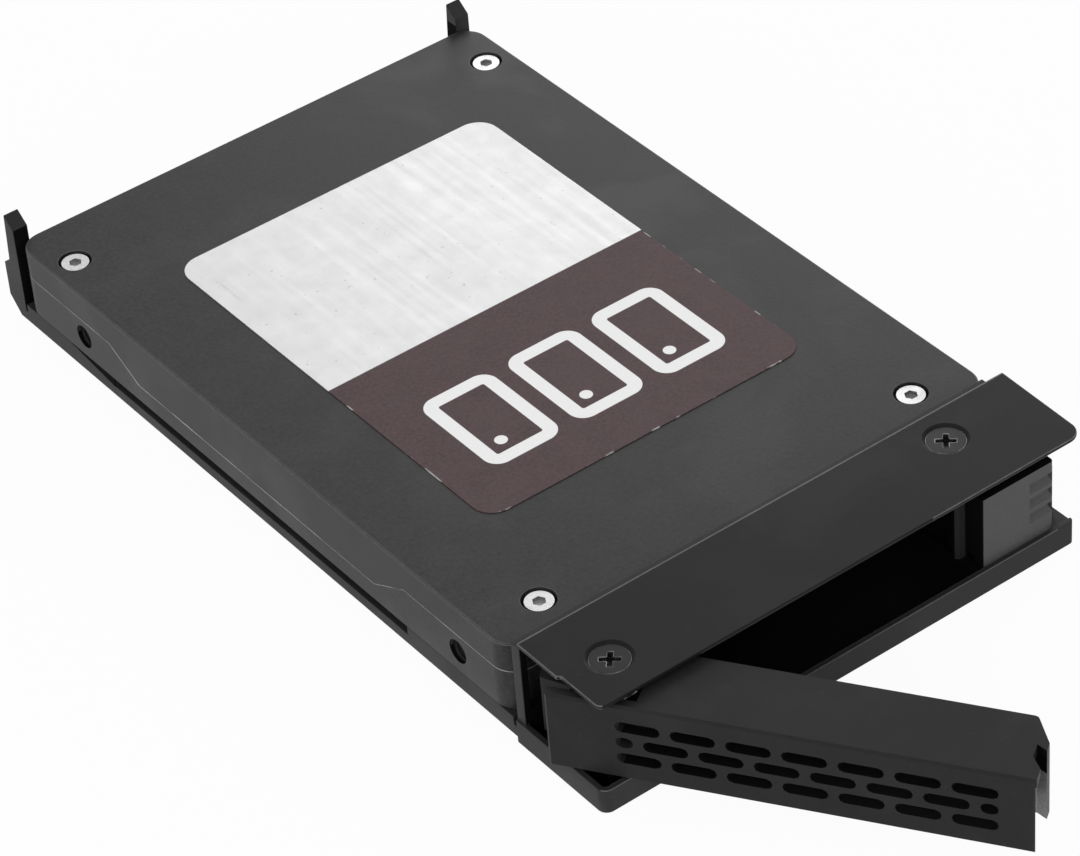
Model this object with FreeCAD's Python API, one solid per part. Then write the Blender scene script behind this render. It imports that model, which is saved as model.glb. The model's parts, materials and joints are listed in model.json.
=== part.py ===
"""Hot-swap drive tray with a 2.5-inch solid-state drive screwed into it.

Millimetres. +X is right seen from the front, +Y is the rear and +Z is up. The origin lies on the tray's
underside, below the centre of the drive's four mounting holes. The door is modelled shut and then turned
about its hinge to the open position in which the tray is handed over.
"""
import FreeCAD, Part
import math
import os

V = FreeCAD.Vector
UP = V(0, 0, 1)

# Drive: the standard sizes of a 2.5-inch drive
drive_width = 69.85
drive_length = 100.45
drive_height = 9.5
drive_corner = 3.0
hole_rear = 14.0
hole_front_margin = 9.85
bottom_hole_pitch = 61.72
side_hole_rise = 3.0
side_hole_r = 1.5
tapped_r = 1.5
tapped_depth = 2.4

# Drive shells: the parting line is high at the screw ears and drops between them
shell_wall = 1.3
lid_thickness = 1.2
base_floor = 1.2
parting_gap = 0.05
ear_drop = 4.0
skirt_drop = 7.0
ear_length = 20.0
ear_slope = 6.0
rear_ear_width = 7.0
front_ear_width = 11.0
lid_chamfer = 0.15

# Cover screws, from the drive's sides and ends; their hidden threads are many-sided prisms
rear_screw_inset = 3.5
rear_screw_from_end = 8.0
front_screw_inset = 7.9
front_screw_from_end = 4.65
cover_head_r = 1.73
cover_head_height = 0.9
cover_head_sink = 0.25
cover_socket_r = 0.82
cover_socket_depth = 0.6
cover_shank_r = 1.0
cover_shank_length = 5.5
thread_sides = 12
counterbore_r = 2.07
column_wall = 1.0

# Label on the cover
label_width = 46.7
label_length = 63.6
label_from_rear = 17.7
label_offset_x = 0.2
label_corner = 3.0
label_thickness = 0.12

# Circuit board and what is soldered to it
board_thickness = 1.0
board_standoff = 2.0
board_edge_gap = 0.5
standoff_r = 2.2
standoff_inset = 5.4
standoff_from_middle = 18.0
chip_height = 1.0
controller_size = 14.0
cache_width = 11.0
cache_length = 9.5
flash_width = 18.0
flash_length = 14.0
flash_gap = 3.0
capacitor_count = 6
capacitor_width = 2.8
capacitor_length = 3.5
capacitor_height = 1.9
capacitor_pitch = 4.4
thermal_pad_height = 1.0
thermal_pad_size = 13.0
pedestal_margin = 1.0

# Drive connector: a seven-contact and a fifteen-contact blade between two guide ears
connector_offset_x = -4.8
connector_depth = 7.0
connector_height = 3.9
connector_block = 2.4
connector_shelf = 3.0
connector_floor_gap = 0.2
connector_window_gap = 0.4
guide_ear = 1.1
guide_ear_gap = 3.36
blade_thickness = 1.2
blade_key = 1.0
blade_setback = 0.2
contact_pitch = 1.27
contact_width = 0.8
contact_height = 0.12
signal_count = 7
power_count = 15
blade_gap = 2.6

# Tray floor and rear posts
floor_thickness = 1.5
pad_rise = 1.2
pad_width = 10.0
post_width = 2.1
post_gap = 0.3
post_depth = 1.9
post_foot_depth = 3.7
post_rise = 3.05
post_slope = 1.45
post_step_rise = 4.5
post_chamfer = 2.2
vent_length = 12.0
vent_width = 3.5
vent_columns = 3
vent_rows = 2
slot_end_steps = 4

# Front of the tray: lipped slab, vent frame and top plate round the door bay
lip_height = 3.3
lip_width = 0.7
land_recess = 0.4
pocket_margin = 0.8
slab_proud = 0.475
slab_right_inset = 2.125
slab_corner = 1.2
front_gap = 1.15
frame_thickness = 1.5
frame_inset = 0.25
frame_sill = 1.8
frame_rail = 1.9
frame_end_post = 0.95
frame_post = 1.7
frame_windows = 4
bay_depth = 14.15
bay_height = 11.3
plate_thickness = 0.5
plate_overlap = 0.4
plate_setback = 0.35
plate_left_proud = 0.225
plate_jog = 0.4
plate_jog_from_front = 7.2
plate_taper = 0.5
plate_left_corner = 1.0
plate_right_corner = 2.0

# Countersunk screws of the plate and of the drive
screw_r = 1.5
screw_head_r = 2.4
screw_length = 8.0
screw_sink = 0.3
screw_seat_gap = 0.02
recess_span = 2.4
recess_width = 0.6
recess_depth = 0.9
recess_turn_deg = -40.0
drive_screw_length = 4.6
boss_r = 2.7
boss_from_frame = 4.3
boss_from_latch = 2.6
pilot_depth = 9.0

# Door, measured from the hinge axis with the door shut
door_open_deg = 56.0
door_front = 6.15
door_depth = 9.75
door_left = 5.6
door_floor_gap = 0.15
door_top_gap = 0.65
door_latch_gap = 0.2
door_chamfer = 0.3
panel_thickness = 1.3
panel_end_slant = 0.6
top_wall = 1.2
bottom_wall = 1.0
bottom_wall_depth = 8.2
bottom_wall_short = 4.8
hook_height = 9.9
hook_wall = 2.0
hook_lip = 0.7
notch_depth = 1.2
notch_front = 4.2
notch_floor_front = 2.55
notch_rear = 0.65
nose_flat = 1.2
nose_run = 2.1
nose_rear_r = 0.7

# Vent slots in the door, in staggered rows
slot_start = 2.25
slot_end_margin = 3.95
slot_gap = 1.07
slot_height = 1.45
slot_row_pitch = 2.25
slot_middle_from_top = 5.15
slot_count = 7

# Hinge: post, knuckle, cage claw and torsion spring
hinge_inset = 6.5
hinge_post_r = 2.5
hinge_shoulder = 1.2
hinge_clearance = 0.05
knuckle_r = 4.1
knuckle_height = 7.75
knuckle_web = 1.8
knuckle_gap = 0.4
claw_front = 0.9
claw_rear = 2.6
claw_tip_r = 0.8
claw_front_r = 0.5
stop_gap = 0.2
coil_wire_r = 0.25
coil_gap = 0.35
coil_turns = 3.36
coil_steps = 10
wire_sides = 6
lug_deg = 14.0
lug_height = 0.7
leg_gap = 0.05
anchor_width = 1.4
anchor_depth = 1.6
anchor_height = 1.9

# Latch
latch_width = 10.7
latch_end_gap = 0.5
latch_setback = 0.75
latch_top_gap = 1.6
latch_floor_gap = 0.1
latch_corner = 0.5
latch_boss_gap = 0.3
latch_step = 1.4
latch_step_depth = 4.4
latch_travel = 2.0
nib_gap = 0.15
nib_rear_gap = 0.2
nib_chamfer = 0.4
grip_count = 3
grip_pitch = 2.15
grip_height = 0.8
grip_depth = 0.5
grip_length = 3.7
grip_from_top = 1.9
rib_width = 1.2
rib_height = 1.0
rib_gap = 0.05
rib_from_front = 1.6
rib_right_inset = 2.6
rib_length = 5.8

# Latch spring and the tray stop that it pushes on
latch_coil_r = 1.1
latch_wire_r = 0.2
latch_coil_turns = 5
spring_bore_gap = 0.15
spring_bore_depth = 5.0
spring_from_rear = 2.0
spring_stop = 1.2
spring_stop_inset = 0.4
spring_stop_half = 1.6

# Levels and places that follow from the sizes above
half_drive = drive_width / 2
hole_front = drive_length - hole_front_margin
drive_bottom = floor_thickness + pad_rise
drive_top = drive_bottom + drive_height
drive_rear = (hole_rear + hole_front) / 2
drive_front = drive_rear - drive_length
drive_middle = (drive_rear + drive_front) / 2
ear_top = drive_top - ear_drop
skirt_bottom = drive_top - skirt_drop
cavity_floor = drive_bottom + base_floor
lid_under = drive_top - lid_thickness
board_bottom = cavity_floor + board_standoff
board_top = board_bottom + board_thickness
chip_top = board_top + chip_height
pedestal_bottom = chip_top + thermal_pad_height
frame_rear = drive_front - front_gap
frame_front = frame_rear - frame_thickness
slab_front = frame_front - bay_depth
slab_left = -(half_drive + slab_proud)
slab_right = half_drive - slab_right_inset
frame_left = slab_left + frame_inset
bay_floor = lip_height
land = lip_height - land_recess
bay_roof = bay_floor + bay_height
plate_top = bay_roof + plate_thickness
hinge_x = slab_left + hinge_inset
hinge_y = slab_front + door_front
door_bottom = bay_floor + door_floor_gap
door_top = bay_roof - door_top_gap
door_rear = door_depth - door_front
latch_right = slab_right - latch_travel - latch_end_gap
latch_left = latch_right - latch_width
latch_front = slab_front + latch_setback
latch_bottom = land + latch_floor_gap
latch_top = bay_roof - latch_top_gap
door_right = latch_left - door_latch_gap - hinge_x
knuckle_top = door_bottom + knuckle_height
boss_x = latch_left + boss_from_latch
boss_y = frame_front - boss_from_frame
latch_rear = boss_y - boss_r - latch_boss_gap
spring_y = latch_rear - spring_from_rear
spring_z = (latch_bottom + latch_top) / 2
spring_x0 = latch_right - latch_step - spring_bore_depth
spring_x1 = slab_right - spring_stop_inset - spring_stop
coil_r = hinge_post_r + coil_gap + coil_wire_r
coil_bottom = knuckle_top + hinge_clearance + coil_wire_r
coil_top = bay_roof - hinge_clearance - coil_wire_r
open_rad = math.radians(door_open_deg)
blade_span = (signal_count + power_count + 2) * contact_pitch + blade_gap
connector_width = blade_span + 2 * (guide_ear + guide_ear_gap)
connector_bottom = cavity_floor + connector_floor_gap
connector_rear = drive_rear - blade_setback
blade_bottom = connector_bottom + (connector_height - blade_thickness) / 2
cover_screws_xy = [
    (side * (half_drive - inset), y)
    for inset, y in (
        (rear_screw_inset, drive_rear - rear_screw_from_end),
        (front_screw_inset, drive_front + front_screw_from_end),
    )
    for side in (-1, 1)
]
hole_rows = (drive_rear - hole_rear, drive_rear - hole_front)
drive_holes_xy = [(side * bottom_hole_pitch / 2, y) for y in hole_rows for side in (-1, 1)]
standoffs_xy = [
    (side * (half_drive - standoff_inset), drive_middle + way * standoff_from_middle)
    for side in (-1, 1)
    for way in (-1, 1)
]


def box(x0, x1, y0, y1, z0, z1):
    """A block between two corners."""
    return Part.makeBox(x1 - x0, y1 - y0, z1 - z0, V(x0, y0, z0))


def rod(x, y, z0, z1, radius):
    """An upright cylinder."""
    return Part.makeCylinder(radius, z1 - z0, V(x, y, z0))


def outline(corners):
    """A closed wire at Z = 0 through (x, y, corner radius) points."""
    edges = []
    ends = []
    for i, (x, y, radius) in enumerate(corners):
        here = V(x, y, 0)
        before = V(*corners[i - 1][:2], 0) - here
        after = V(*corners[(i + 1) % len(corners)][:2], 0) - here
        if radius == 0:
            ends.append((here, None, here))
            continue
        before.normalize()
        after.normalize()
        half = before.getAngle(after) / 2
        bisector = before + after
        bisector.normalize()
        start = here + before * (radius / math.tan(half))
        end = here + after * (radius / math.tan(half))
        middle = here + bisector * (radius / math.sin(half) - radius)
        ends.append((start, middle, end))
    for i, (start, middle, end) in enumerate(ends):
        if middle is not None:
            edges.append(Part.Arc(start, middle, end).toShape())
        following = ends[(i + 1) % len(ends)][0]
        if end.distanceToPoint(following) > 1e-6:
            edges.append(Part.makeLine(end, following))
    return Part.Wire(edges)


def prism(corners, z0, z1):
    """An upright prism over an outline of (x, y, radius) points."""
    face = Part.Face(outline(corners))
    face.translate(V(0, 0, z0))
    return face.extrude(V(0, 0, z1 - z0))


def side_prism(corners, x0, x1):
    """A prism along X over an outline of (y, z, radius) points."""
    face = Part.Face(outline(corners))
    turn = FreeCAD.Placement(V(x0, 0, 0), FreeCAD.Rotation(V(0, 1, 0), UP, V(1, 0, 0), "ZXY"))
    face.Placement = turn
    return face.extrude(V(x1 - x0, 0, 0))


def rectangle(x0, x1, y0, y1, radius):
    """Corners of a rectangle with equal corner radii."""
    return [(x0, y0, radius), (x1, y0, radius), (x1, y1, radius), (x0, y1, radius)]


def regular(x, y, radius, sides):
    """Corners of an equal-sided outline round a point."""
    turns = [k * 2 * math.pi / sides for k in range(sides)]
    return [(x + radius * math.cos(turn), y + radius * math.sin(turn), 0) for turn in turns]


def stadium(x0, x1, y, width):
    """Corners of a slot along X with round ends."""
    radius = width / 2
    turns = [math.pi * (k / slot_end_steps - 0.5) for k in range(slot_end_steps + 1)]
    right = [(x1 - radius + radius * math.cos(turn), y + radius * math.sin(turn), 0) for turn in turns]
    left = [(x0 + radius - radius * math.cos(turn), y - radius * math.sin(turn), 0) for turn in turns]
    return right + left


def fuse(shapes):
    """One solid from shapes that meet, with leftover seams removed."""
    return shapes[0].multiFuse(shapes[1:]).removeSplitter()


def cut(shape, tools):
    """A shape with a list of tools cut out of it."""
    return shape.cut(Part.makeCompound(tools))


def chamfer_edges(shape, size, chosen):
    """Chamfers the edges that a test picks."""
    return shape.makeChamfer(size, [edge for edge in shape.Edges if chosen(edge)])


def lathe(profile, x, y):
    """An upright turned solid from (radius, z) points, closed along its axis."""
    points = [V(0, 0, profile[0][1])]
    points += [V(radius, 0, z) for radius, z in profile]
    points += [V(0, 0, profile[-1][1]), points[0]]
    solid = Part.Face(Part.makePolygon(points)).revolve(V(0, 0, 0), UP, 360)
    solid.translate(V(x, y, 0))
    return solid


def countersink(x, y, z, way, radius, grow):
    """The right-angled seat of a countersunk head whose face is at z; way points from head to tip."""
    mouth = screw_head_r + grow + screw_sink
    deep = z - way * screw_sink + way * (mouth - radius)
    return lathe([(mouth, z - way * screw_sink), (radius, deep), (radius, deep + way)], x, y)


def countersunk_screw(x, y, z, way, length):
    """A countersunk screw with a cross recess; its head's face is at z."""
    neck = z + way * (screw_head_r - screw_r)
    body = lathe([(screw_head_r, z), (screw_r, neck), (screw_r, z + way * length)], x, y)
    low = min(z, z + way * recess_depth)
    arms = []
    for wide, long in ((recess_span, recess_width), (recess_width, recess_span)):
        arm = box(x - wide / 2, x + wide / 2, y - long / 2, y + long / 2, low, low + recess_depth)
        arm.rotate(V(x, y, 0), UP, recess_turn_deg)
        arms.append(arm)
    return cut(body, arms)


def drive_outline(inset):
    """Corners of the drive's plan, moved inwards."""
    half = half_drive - inset
    radius = max(drive_corner - inset, drive_corner / 4)
    return rectangle(-half, half, drive_front + inset, drive_rear - inset, radius)


def below_parting(lift):
    """All that lies below the drive's parting line, raised by lift."""
    ear = ear_top + lift
    dip = skirt_bottom + lift
    low = drive_bottom - drive_height
    past = drive_corner
    profile = [
        (drive_front - past, low, 0),
        (drive_rear + past, low, 0),
        (drive_rear + past, ear, 0),
        (drive_rear - ear_length, ear, 0),
        (drive_rear - ear_length - ear_slope, dip, 0),
        (drive_front + ear_length + ear_slope, dip, 0),
        (drive_front + ear_length, ear, 0),
        (drive_front - past, ear, 0),
    ]
    return side_prism(profile, -half_drive - past, half_drive + past)


def connector_window():
    """The notch that the connector needs in the drive's rear wall."""
    half = connector_width / 2 + connector_window_gap
    x0 = connector_offset_x - half
    x1 = connector_offset_x + half
    return box(x0, x1, drive_rear - 2 * drive_corner, drive_rear + 1, cavity_floor, ear_top)


def tapped_side_hole(side, y):
    """A drive side hole."""
    face = side * half_drive
    inward = V(-side, 0, 0)
    z = drive_bottom + side_hole_rise
    return Part.makeCylinder(side_hole_r, tapped_depth, V(face, y, z), inward)


def make_drive_base():
    """Lower shell: floor, low walls, four screw ears and the board's standoffs."""
    outer = prism(drive_outline(0), drive_bottom, drive_top)
    cavity = prism(drive_outline(shell_wall), cavity_floor, drive_top)
    ears = []
    for side in (-1, 1):
        for width, y0, y1 in (
            (rear_ear_width, drive_rear - ear_length, drive_rear),
            (front_ear_width, drive_front, drive_front + ear_length),
        ):
            inner = side * (half_drive - width)
            x0, x1 = sorted((inner, side * half_drive))
            ears.append(box(x0, x1, y0, y1, drive_bottom, drive_top).common(outer))
    standoffs = [prism(regular(x, y, standoff_r, 6), drive_bottom, board_bottom) for x, y in standoffs_xy]
    shell = fuse([outer.cut(cavity)] + ears).common(below_parting(0))
    shell = fuse([shell] + standoffs)
    holes = [connector_window()]
    for side in (-1, 1):
        holes += [tapped_side_hole(side, y) for y in hole_rows]
    holes += [rod(x, y, drive_bottom, drive_bottom + tapped_depth, tapped_r) for x, y in drive_holes_xy]
    shank_end = drive_top - cover_head_sink - cover_head_height - cover_shank_length
    for x, y in cover_screws_xy:
        thread = regular(x, y, cover_shank_r + screw_seat_gap, thread_sides)
        holes.append(prism(thread, shank_end - parting_gap, drive_top))
    return cut(shell, holes)


def make_drive_cover():
    """Upper shell: lid, dipped skirt, screw columns and the pedestal over the controller."""
    outer = prism(drive_outline(0), drive_bottom, drive_top)
    outer = chamfer_edges(outer, lid_chamfer, lambda edge: edge.BoundBox.ZMin > drive_top - 1e-6)
    skirt = outer.cut(below_parting(parting_gap))
    hollow = prism(drive_outline(shell_wall), drive_bottom, lid_under)
    shell = skirt.cut(hollow)
    column_bottom = ear_top + parting_gap
    reach = counterbore_r + column_wall
    columns = []
    for x, y in cover_screws_xy:
        column = box(x - reach, x + reach, y - reach, y + reach, column_bottom, lid_under)
        columns.append(column.common(outer))
    half = thermal_pad_size / 2 + pedestal_margin
    pedestal = box(-half, half, controller_y - half, controller_y + half, pedestal_bottom, lid_under)
    shell = fuse([shell] + columns + [pedestal])
    seat = drive_top - cover_head_sink - cover_head_height
    holes = [rod(x, y, seat, drive_top + 1, counterbore_r) for x, y in cover_screws_xy]
    holes += [rod(x, y, drive_bottom, seat, cover_shank_r + parting_gap) for x, y in cover_screws_xy]
    return cut(shell, holes)


def make_cover_screws():
    """Four small cheese-head screws with a hexagon socket."""
    screws = []
    top = drive_top - cover_head_sink
    seat = top - cover_head_height
    for x, y in cover_screws_xy:
        head = rod(x, y, seat, top, cover_head_r)
        shank = prism(regular(x, y, cover_shank_r, thread_sides), seat - cover_shank_length, seat)
        socket = prism(regular(x, y, cover_socket_r, 6), top - cover_socket_depth, top)
        screws.append(fuse([head, shank]).cut(socket))
    return Part.makeCompound(screws)


def make_drive_label():
    """Thin foil label on the cover."""
    x0 = label_offset_x - label_width / 2
    y1 = drive_rear - label_from_rear
    corners = rectangle(x0, x0 + label_width, y1 - label_length, y1, label_corner)
    return prism(corners, drive_top, drive_top + label_thickness)


def make_circuit_board():
    """Board that is wide between the ears and narrow beside them."""
    wide = half_drive - shell_wall - board_edge_gap
    rear = half_drive - rear_ear_width - board_edge_gap
    front = half_drive - front_ear_width - board_edge_gap
    y_rear = connector_rear - connector_depth
    y_front = drive_front + shell_wall + board_edge_gap
    ear_rear = drive_rear - ear_length - board_edge_gap
    ear_front = drive_front + ear_length + board_edge_gap
    right = [
        (front, y_front),
        (front, ear_front),
        (wide, ear_front),
        (wide, ear_rear),
        (rear, ear_rear),
        (rear, y_rear),
    ]
    left = [(-x, y) for x, y in reversed(right)]
    return prism([(x, y, 0) for x, y in right + left], board_bottom, board_top)


def chip(x, y, width, length, z, height):
    """A flat package centred on x, y."""
    return box(x - width / 2, x + width / 2, y - length / 2, y + length / 2, z, z + height)


def make_flash_chips():
    """Eight memory packages, four on each face of the board."""
    chips = []
    for z in (board_top, board_bottom - chip_height):
        for column in (-1, 1):
            for row in (0, 1):
                x = column * (flash_width + flash_gap) / 2
                y = flash_y - row * (flash_length + flash_gap)
                chips.append(chip(x, y, flash_width, flash_length, z, chip_height))
    return Part.makeCompound(chips)


def make_board_capacitors():
    """A row of moulded capacitors beside the connector."""
    first = -(capacitor_count - 1) * capacitor_pitch / 2
    bodies = []
    for k in range(capacitor_count):
        x = first + k * capacitor_pitch
        bodies.append(chip(x, capacitor_y, capacitor_width, capacitor_length, board_top, capacitor_height))
    return Part.makeCompound(bodies)


def blades():
    """First contact and contact count of the two connector blades, signal first."""
    start = connector_offset_x - blade_span / 2
    power_start = start + (signal_count + 1) * contact_pitch + blade_gap
    return ((start, signal_count), (power_start, power_count))


def make_sata_connector():
    """Moulded connector: block behind the board's edge, shelf under it, two keyed blades, two guide ears."""
    x0 = connector_offset_x - connector_width / 2
    x1 = x0 + connector_width
    front = connector_rear - connector_depth
    top = connector_bottom + connector_height
    pieces = [box(x0, x1, front, front + connector_block, connector_bottom, top)]
    shelf_top = board_bottom - parting_gap / 2
    pieces.append(box(x0, x1, front - connector_shelf, front, connector_bottom, shelf_top))
    for x in (x0, x1 - guide_ear):
        pieces.append(box(x, x + guide_ear, front, connector_rear, connector_bottom, top))
    for start, count in blades():
        end = start + (count + 1) * contact_pitch
        pieces.append(box(start, end, front, connector_rear, blade_bottom, blade_bottom + blade_thickness))
        pieces.append(box(end - blade_key, end, front, connector_rear, blade_bottom, top))
    return fuse(pieces)


def make_contacts(start, count):
    """Gold strips under one blade."""
    front = connector_rear - connector_depth + connector_block
    strips = []
    for k in range(count):
        x0 = start + (k + 1) * contact_pitch - contact_width / 2
        low = blade_bottom - contact_height
        strips.append(box(x0, x0 + contact_width, front, connector_rear, low, blade_bottom))
    return Part.makeCompound(strips)


def rear_post(side):
    """Corner post behind the drive: sloped tip, stepped back and chamfered heel."""
    face = drive_rear + post_gap
    back = face + post_depth
    heel = face + post_foot_depth
    top = drive_top + post_rise
    step = drive_bottom + post_step_rise
    profile = [
        (drive_rear - ear_length, 0, 0),
        (heel - post_chamfer, 0, 0),
        (heel, post_chamfer, 0),
        (heel, step, 0),
        (back + post_depth / 4, step + post_depth / 4, 0),
        (back, top, 0),
        (face, top - post_slope, 0),
        (face, floor_thickness, 0),
        (drive_rear - ear_length, floor_thickness, 0),
    ]
    inner = side * (half_drive - post_width)
    x0, x1 = sorted((inner, side * half_drive))
    return side_prism(profile, x0, x1)


def vent_frame():
    """Upright frame behind the door bay, with open windows between slim posts."""
    wall = box(frame_left, slab_right, frame_front, frame_rear, 0, bay_roof)
    first = frame_left + frame_end_post
    span = slab_right - frame_end_post - first
    width = (span - (frame_windows - 1) * frame_post) / frame_windows
    sill = bay_floor + frame_sill
    windows = []
    for k in range(frame_windows):
        x = first + k * (width + frame_post)
        windows.append(box(x, x + width, frame_front, frame_rear, sill, bay_roof - frame_rail))
    return cut(wall, windows)


def floor_vents():
    """Stadium slots through the tray floor between the pads."""
    length = drive_length - 2 * ear_length
    slots = []
    for column in range(vent_columns):
        x = (column - (vent_columns - 1) / 2) * drive_width / (vent_columns + 1)
        for row in range(vent_rows):
            y = drive_front + ear_length + length * (row + 0.5) / vent_rows
            corners = stadium(x - vent_length / 2, x + vent_length / 2, y, vent_width)
            slots.append(prism(corners, 0, floor_thickness))
    return slots


def guide_rib(gap):
    """Rib under the latch, or with a gap the groove that runs on it; its right end is the latch's stop."""
    y = latch_front + rib_from_front + rib_width / 2
    half = rib_width / 2 + gap
    right = latch_right - rib_right_inset + gap
    left = right - rib_length if gap == 0 else latch_left
    return box(left, right, y - half, y + half, land, land + rib_height + 2 * gap)


def spring_stop_post():
    """Upright on the slab's right end that the latch spring pushes on."""
    y0 = spring_y - spring_stop_half
    y1 = spring_y + spring_stop_half
    post = box(spring_x1, spring_x1 + spring_stop, y0, y1, 0, spring_z + spring_stop_half)
    half = (latch_coil_r - latch_wire_r - spring_bore_gap) / 2
    pip = box(
        spring_x1 - 2 * half,
        spring_x1,
        spring_y - half,
        spring_y + half,
        spring_z - half,
        spring_z + half,
    )
    return fuse([post, pip])


def make_tray_base():
    """Moulded tray: floor, pads, posts, front slab, vent frame, hinge post and bosses."""
    floor = prism(rectangle(-half_drive, half_drive, frame_rear, drive_rear, 0), 0, floor_thickness)
    slab_corners = [
        (slab_left, slab_front, slab_corner),
        (slab_right, slab_front, slab_corner / 2),
        (slab_right, frame_rear, 0),
        (slab_left, frame_rear, 0),
    ]
    pocket_right = boss_x - boss_r - pocket_margin
    pocket = [
        (slab_left + lip_width, slab_front + lip_width, slab_corner - lip_width),
        (pocket_right, slab_front + lip_width, 0),
        (pocket_right, frame_front, 0),
        (slab_left + lip_width, frame_front, 0),
    ]
    lowered = box(pocket_right, slab_right, slab_front + lip_width, frame_front, land, bay_floor)
    slab = cut(prism(slab_corners, 0, bay_floor), [prism(pocket, floor_thickness, bay_floor), lowered])
    pads = []
    for side in (-1, 1):
        x0, x1 = sorted((side * (half_drive - pad_width), side * half_drive))
        for y0, y1 in ((drive_rear - ear_length, drive_rear), (drive_front, drive_front + ear_length)):
            pads.append(box(x0, x1, y0, y1, 0, drive_bottom))
    boss = rod(boss_x, boss_y, 0, bay_roof, boss_r)
    hinge_post = rod(hinge_x, hinge_y, 0, bay_roof, hinge_post_r)
    half = hinge_post_r + hinge_shoulder
    shoulder = box(hinge_x - half, hinge_x + half, hinge_y - half, hinge_y + half, 0, bay_floor)
    leg_x = hinge_x + coil_r - coil_wire_r - leg_gap
    anchor_low = bay_roof - anchor_height
    anchor = box(leg_x - anchor_width, leg_x, frame_front - anchor_depth, frame_front, anchor_low, bay_roof)
    pieces = [floor, slab, vent_frame(), boss, hinge_post, shoulder, anchor]
    pieces += pads + [guide_rib(0), spring_stop_post(), rear_post(-1), rear_post(1)]
    tray = fuse(pieces)
    holes = floor_vents()
    shank = screw_r + screw_seat_gap
    for x, y in drive_holes_xy:
        holes.append(countersink(x, y, screw_sink, 1, shank, screw_seat_gap))
        holes.append(rod(x, y, 0, drive_bottom, shank))
    for x, y in ((hinge_x, hinge_y), (boss_x, boss_y)):
        holes.append(countersink(x, y, plate_top - screw_sink, -1, shank, screw_seat_gap))
        holes.append(rod(x, y, bay_roof - pilot_depth, bay_roof, shank))
    return cut(tray, holes).removeSplitter()


def make_top_plate():
    """Sheet over the door bay, jogged in on the left and tapered on the right."""
    left = -(half_drive + plate_left_proud)
    rear = frame_front + plate_overlap
    front = slab_front + plate_setback
    jog = front + plate_jog_from_front
    corners = [
        (left + plate_jog, front, plate_left_corner),
        (half_drive - plate_taper, front, plate_right_corner),
        (half_drive, rear, 0),
        (left, rear, 0),
        (left, jog, 0),
        (left + plate_jog, jog - plate_jog, 0),
    ]
    plate = prism(corners, bay_roof, plate_top)
    holes = []
    for x, y in ((hinge_x, hinge_y), (boss_x, boss_y)):
        holes.append(countersink(x, y, plate_top - screw_sink, -1, screw_r + screw_seat_gap, screw_seat_gap))
    return cut(plate, holes)


def make_plate_screws():
    """Two countersunk screws: one in the hinge post, one in the boss."""
    places = ((hinge_x, hinge_y), (boss_x, boss_y))
    face = plate_top - screw_sink
    return Part.makeCompound([countersunk_screw(x, y, face, -1, screw_length) for x, y in places])


def make_drive_screws():
    """Four countersunk screws through the tray's pads into the drive."""
    screws = [countersunk_screw(x, y, screw_sink, 1, drive_screw_length) for x, y in drive_holes_xy]
    return Part.makeCompound(screws)


def door_hook():
    """Hook at the door's right end in plan, front to rear: notch, tip, nose and lead-in slope."""
    tip = -notch_rear - hook_lip
    return [
        (door_right - notch_depth, -notch_rear, 0),
        (door_right, tip, 0),
        (door_right, tip + nose_flat, 0),
        (door_right - nose_run, door_rear, nose_rear_r),
    ]


def door_slots():
    """Three staggered rows of stadium slots through the front panel."""
    span = door_right - slot_end_margin - slot_start
    length = (span - (slot_count - 1) * slot_gap) / slot_count
    pitch = length + slot_gap
    middle = door_top - slot_middle_from_top
    starts = [slot_start + k * pitch for k in range(slot_count)]
    half_end = slot_start + (length - slot_gap) / 2
    staggered = [(slot_start, half_end)]
    staggered += [(x + pitch / 2, x + pitch / 2 + length) for x in starts[:-1]]
    staggered.append((slot_start + span - (half_end - slot_start), slot_start + span))
    whole = [(x, x + length) for x in starts]
    slots = []
    for row, places in ((1, whole), (0, staggered), (-1, whole)):
        z = middle + row * slot_row_pitch
        for x0, x1 in places:
            face = Part.Face(outline(stadium(x0, x1, z, slot_height)))
            face.rotate(V(0, 0, 0), V(1, 0, 0), 90)
            face.translate(V(0, -door_front, 0))
            slots.append(face.extrude(V(0, panel_thickness, 0)))
    return slots


def claw_reach():
    """How far the claw stands out, so that it meets the vent frame's sill with the door open."""
    room = frame_front - hinge_y - stop_gap - claw_tip_r
    return claw_tip_r + (room - math.cos(open_rad) * (claw_rear - claw_tip_r)) / math.sin(open_rad)


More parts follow.
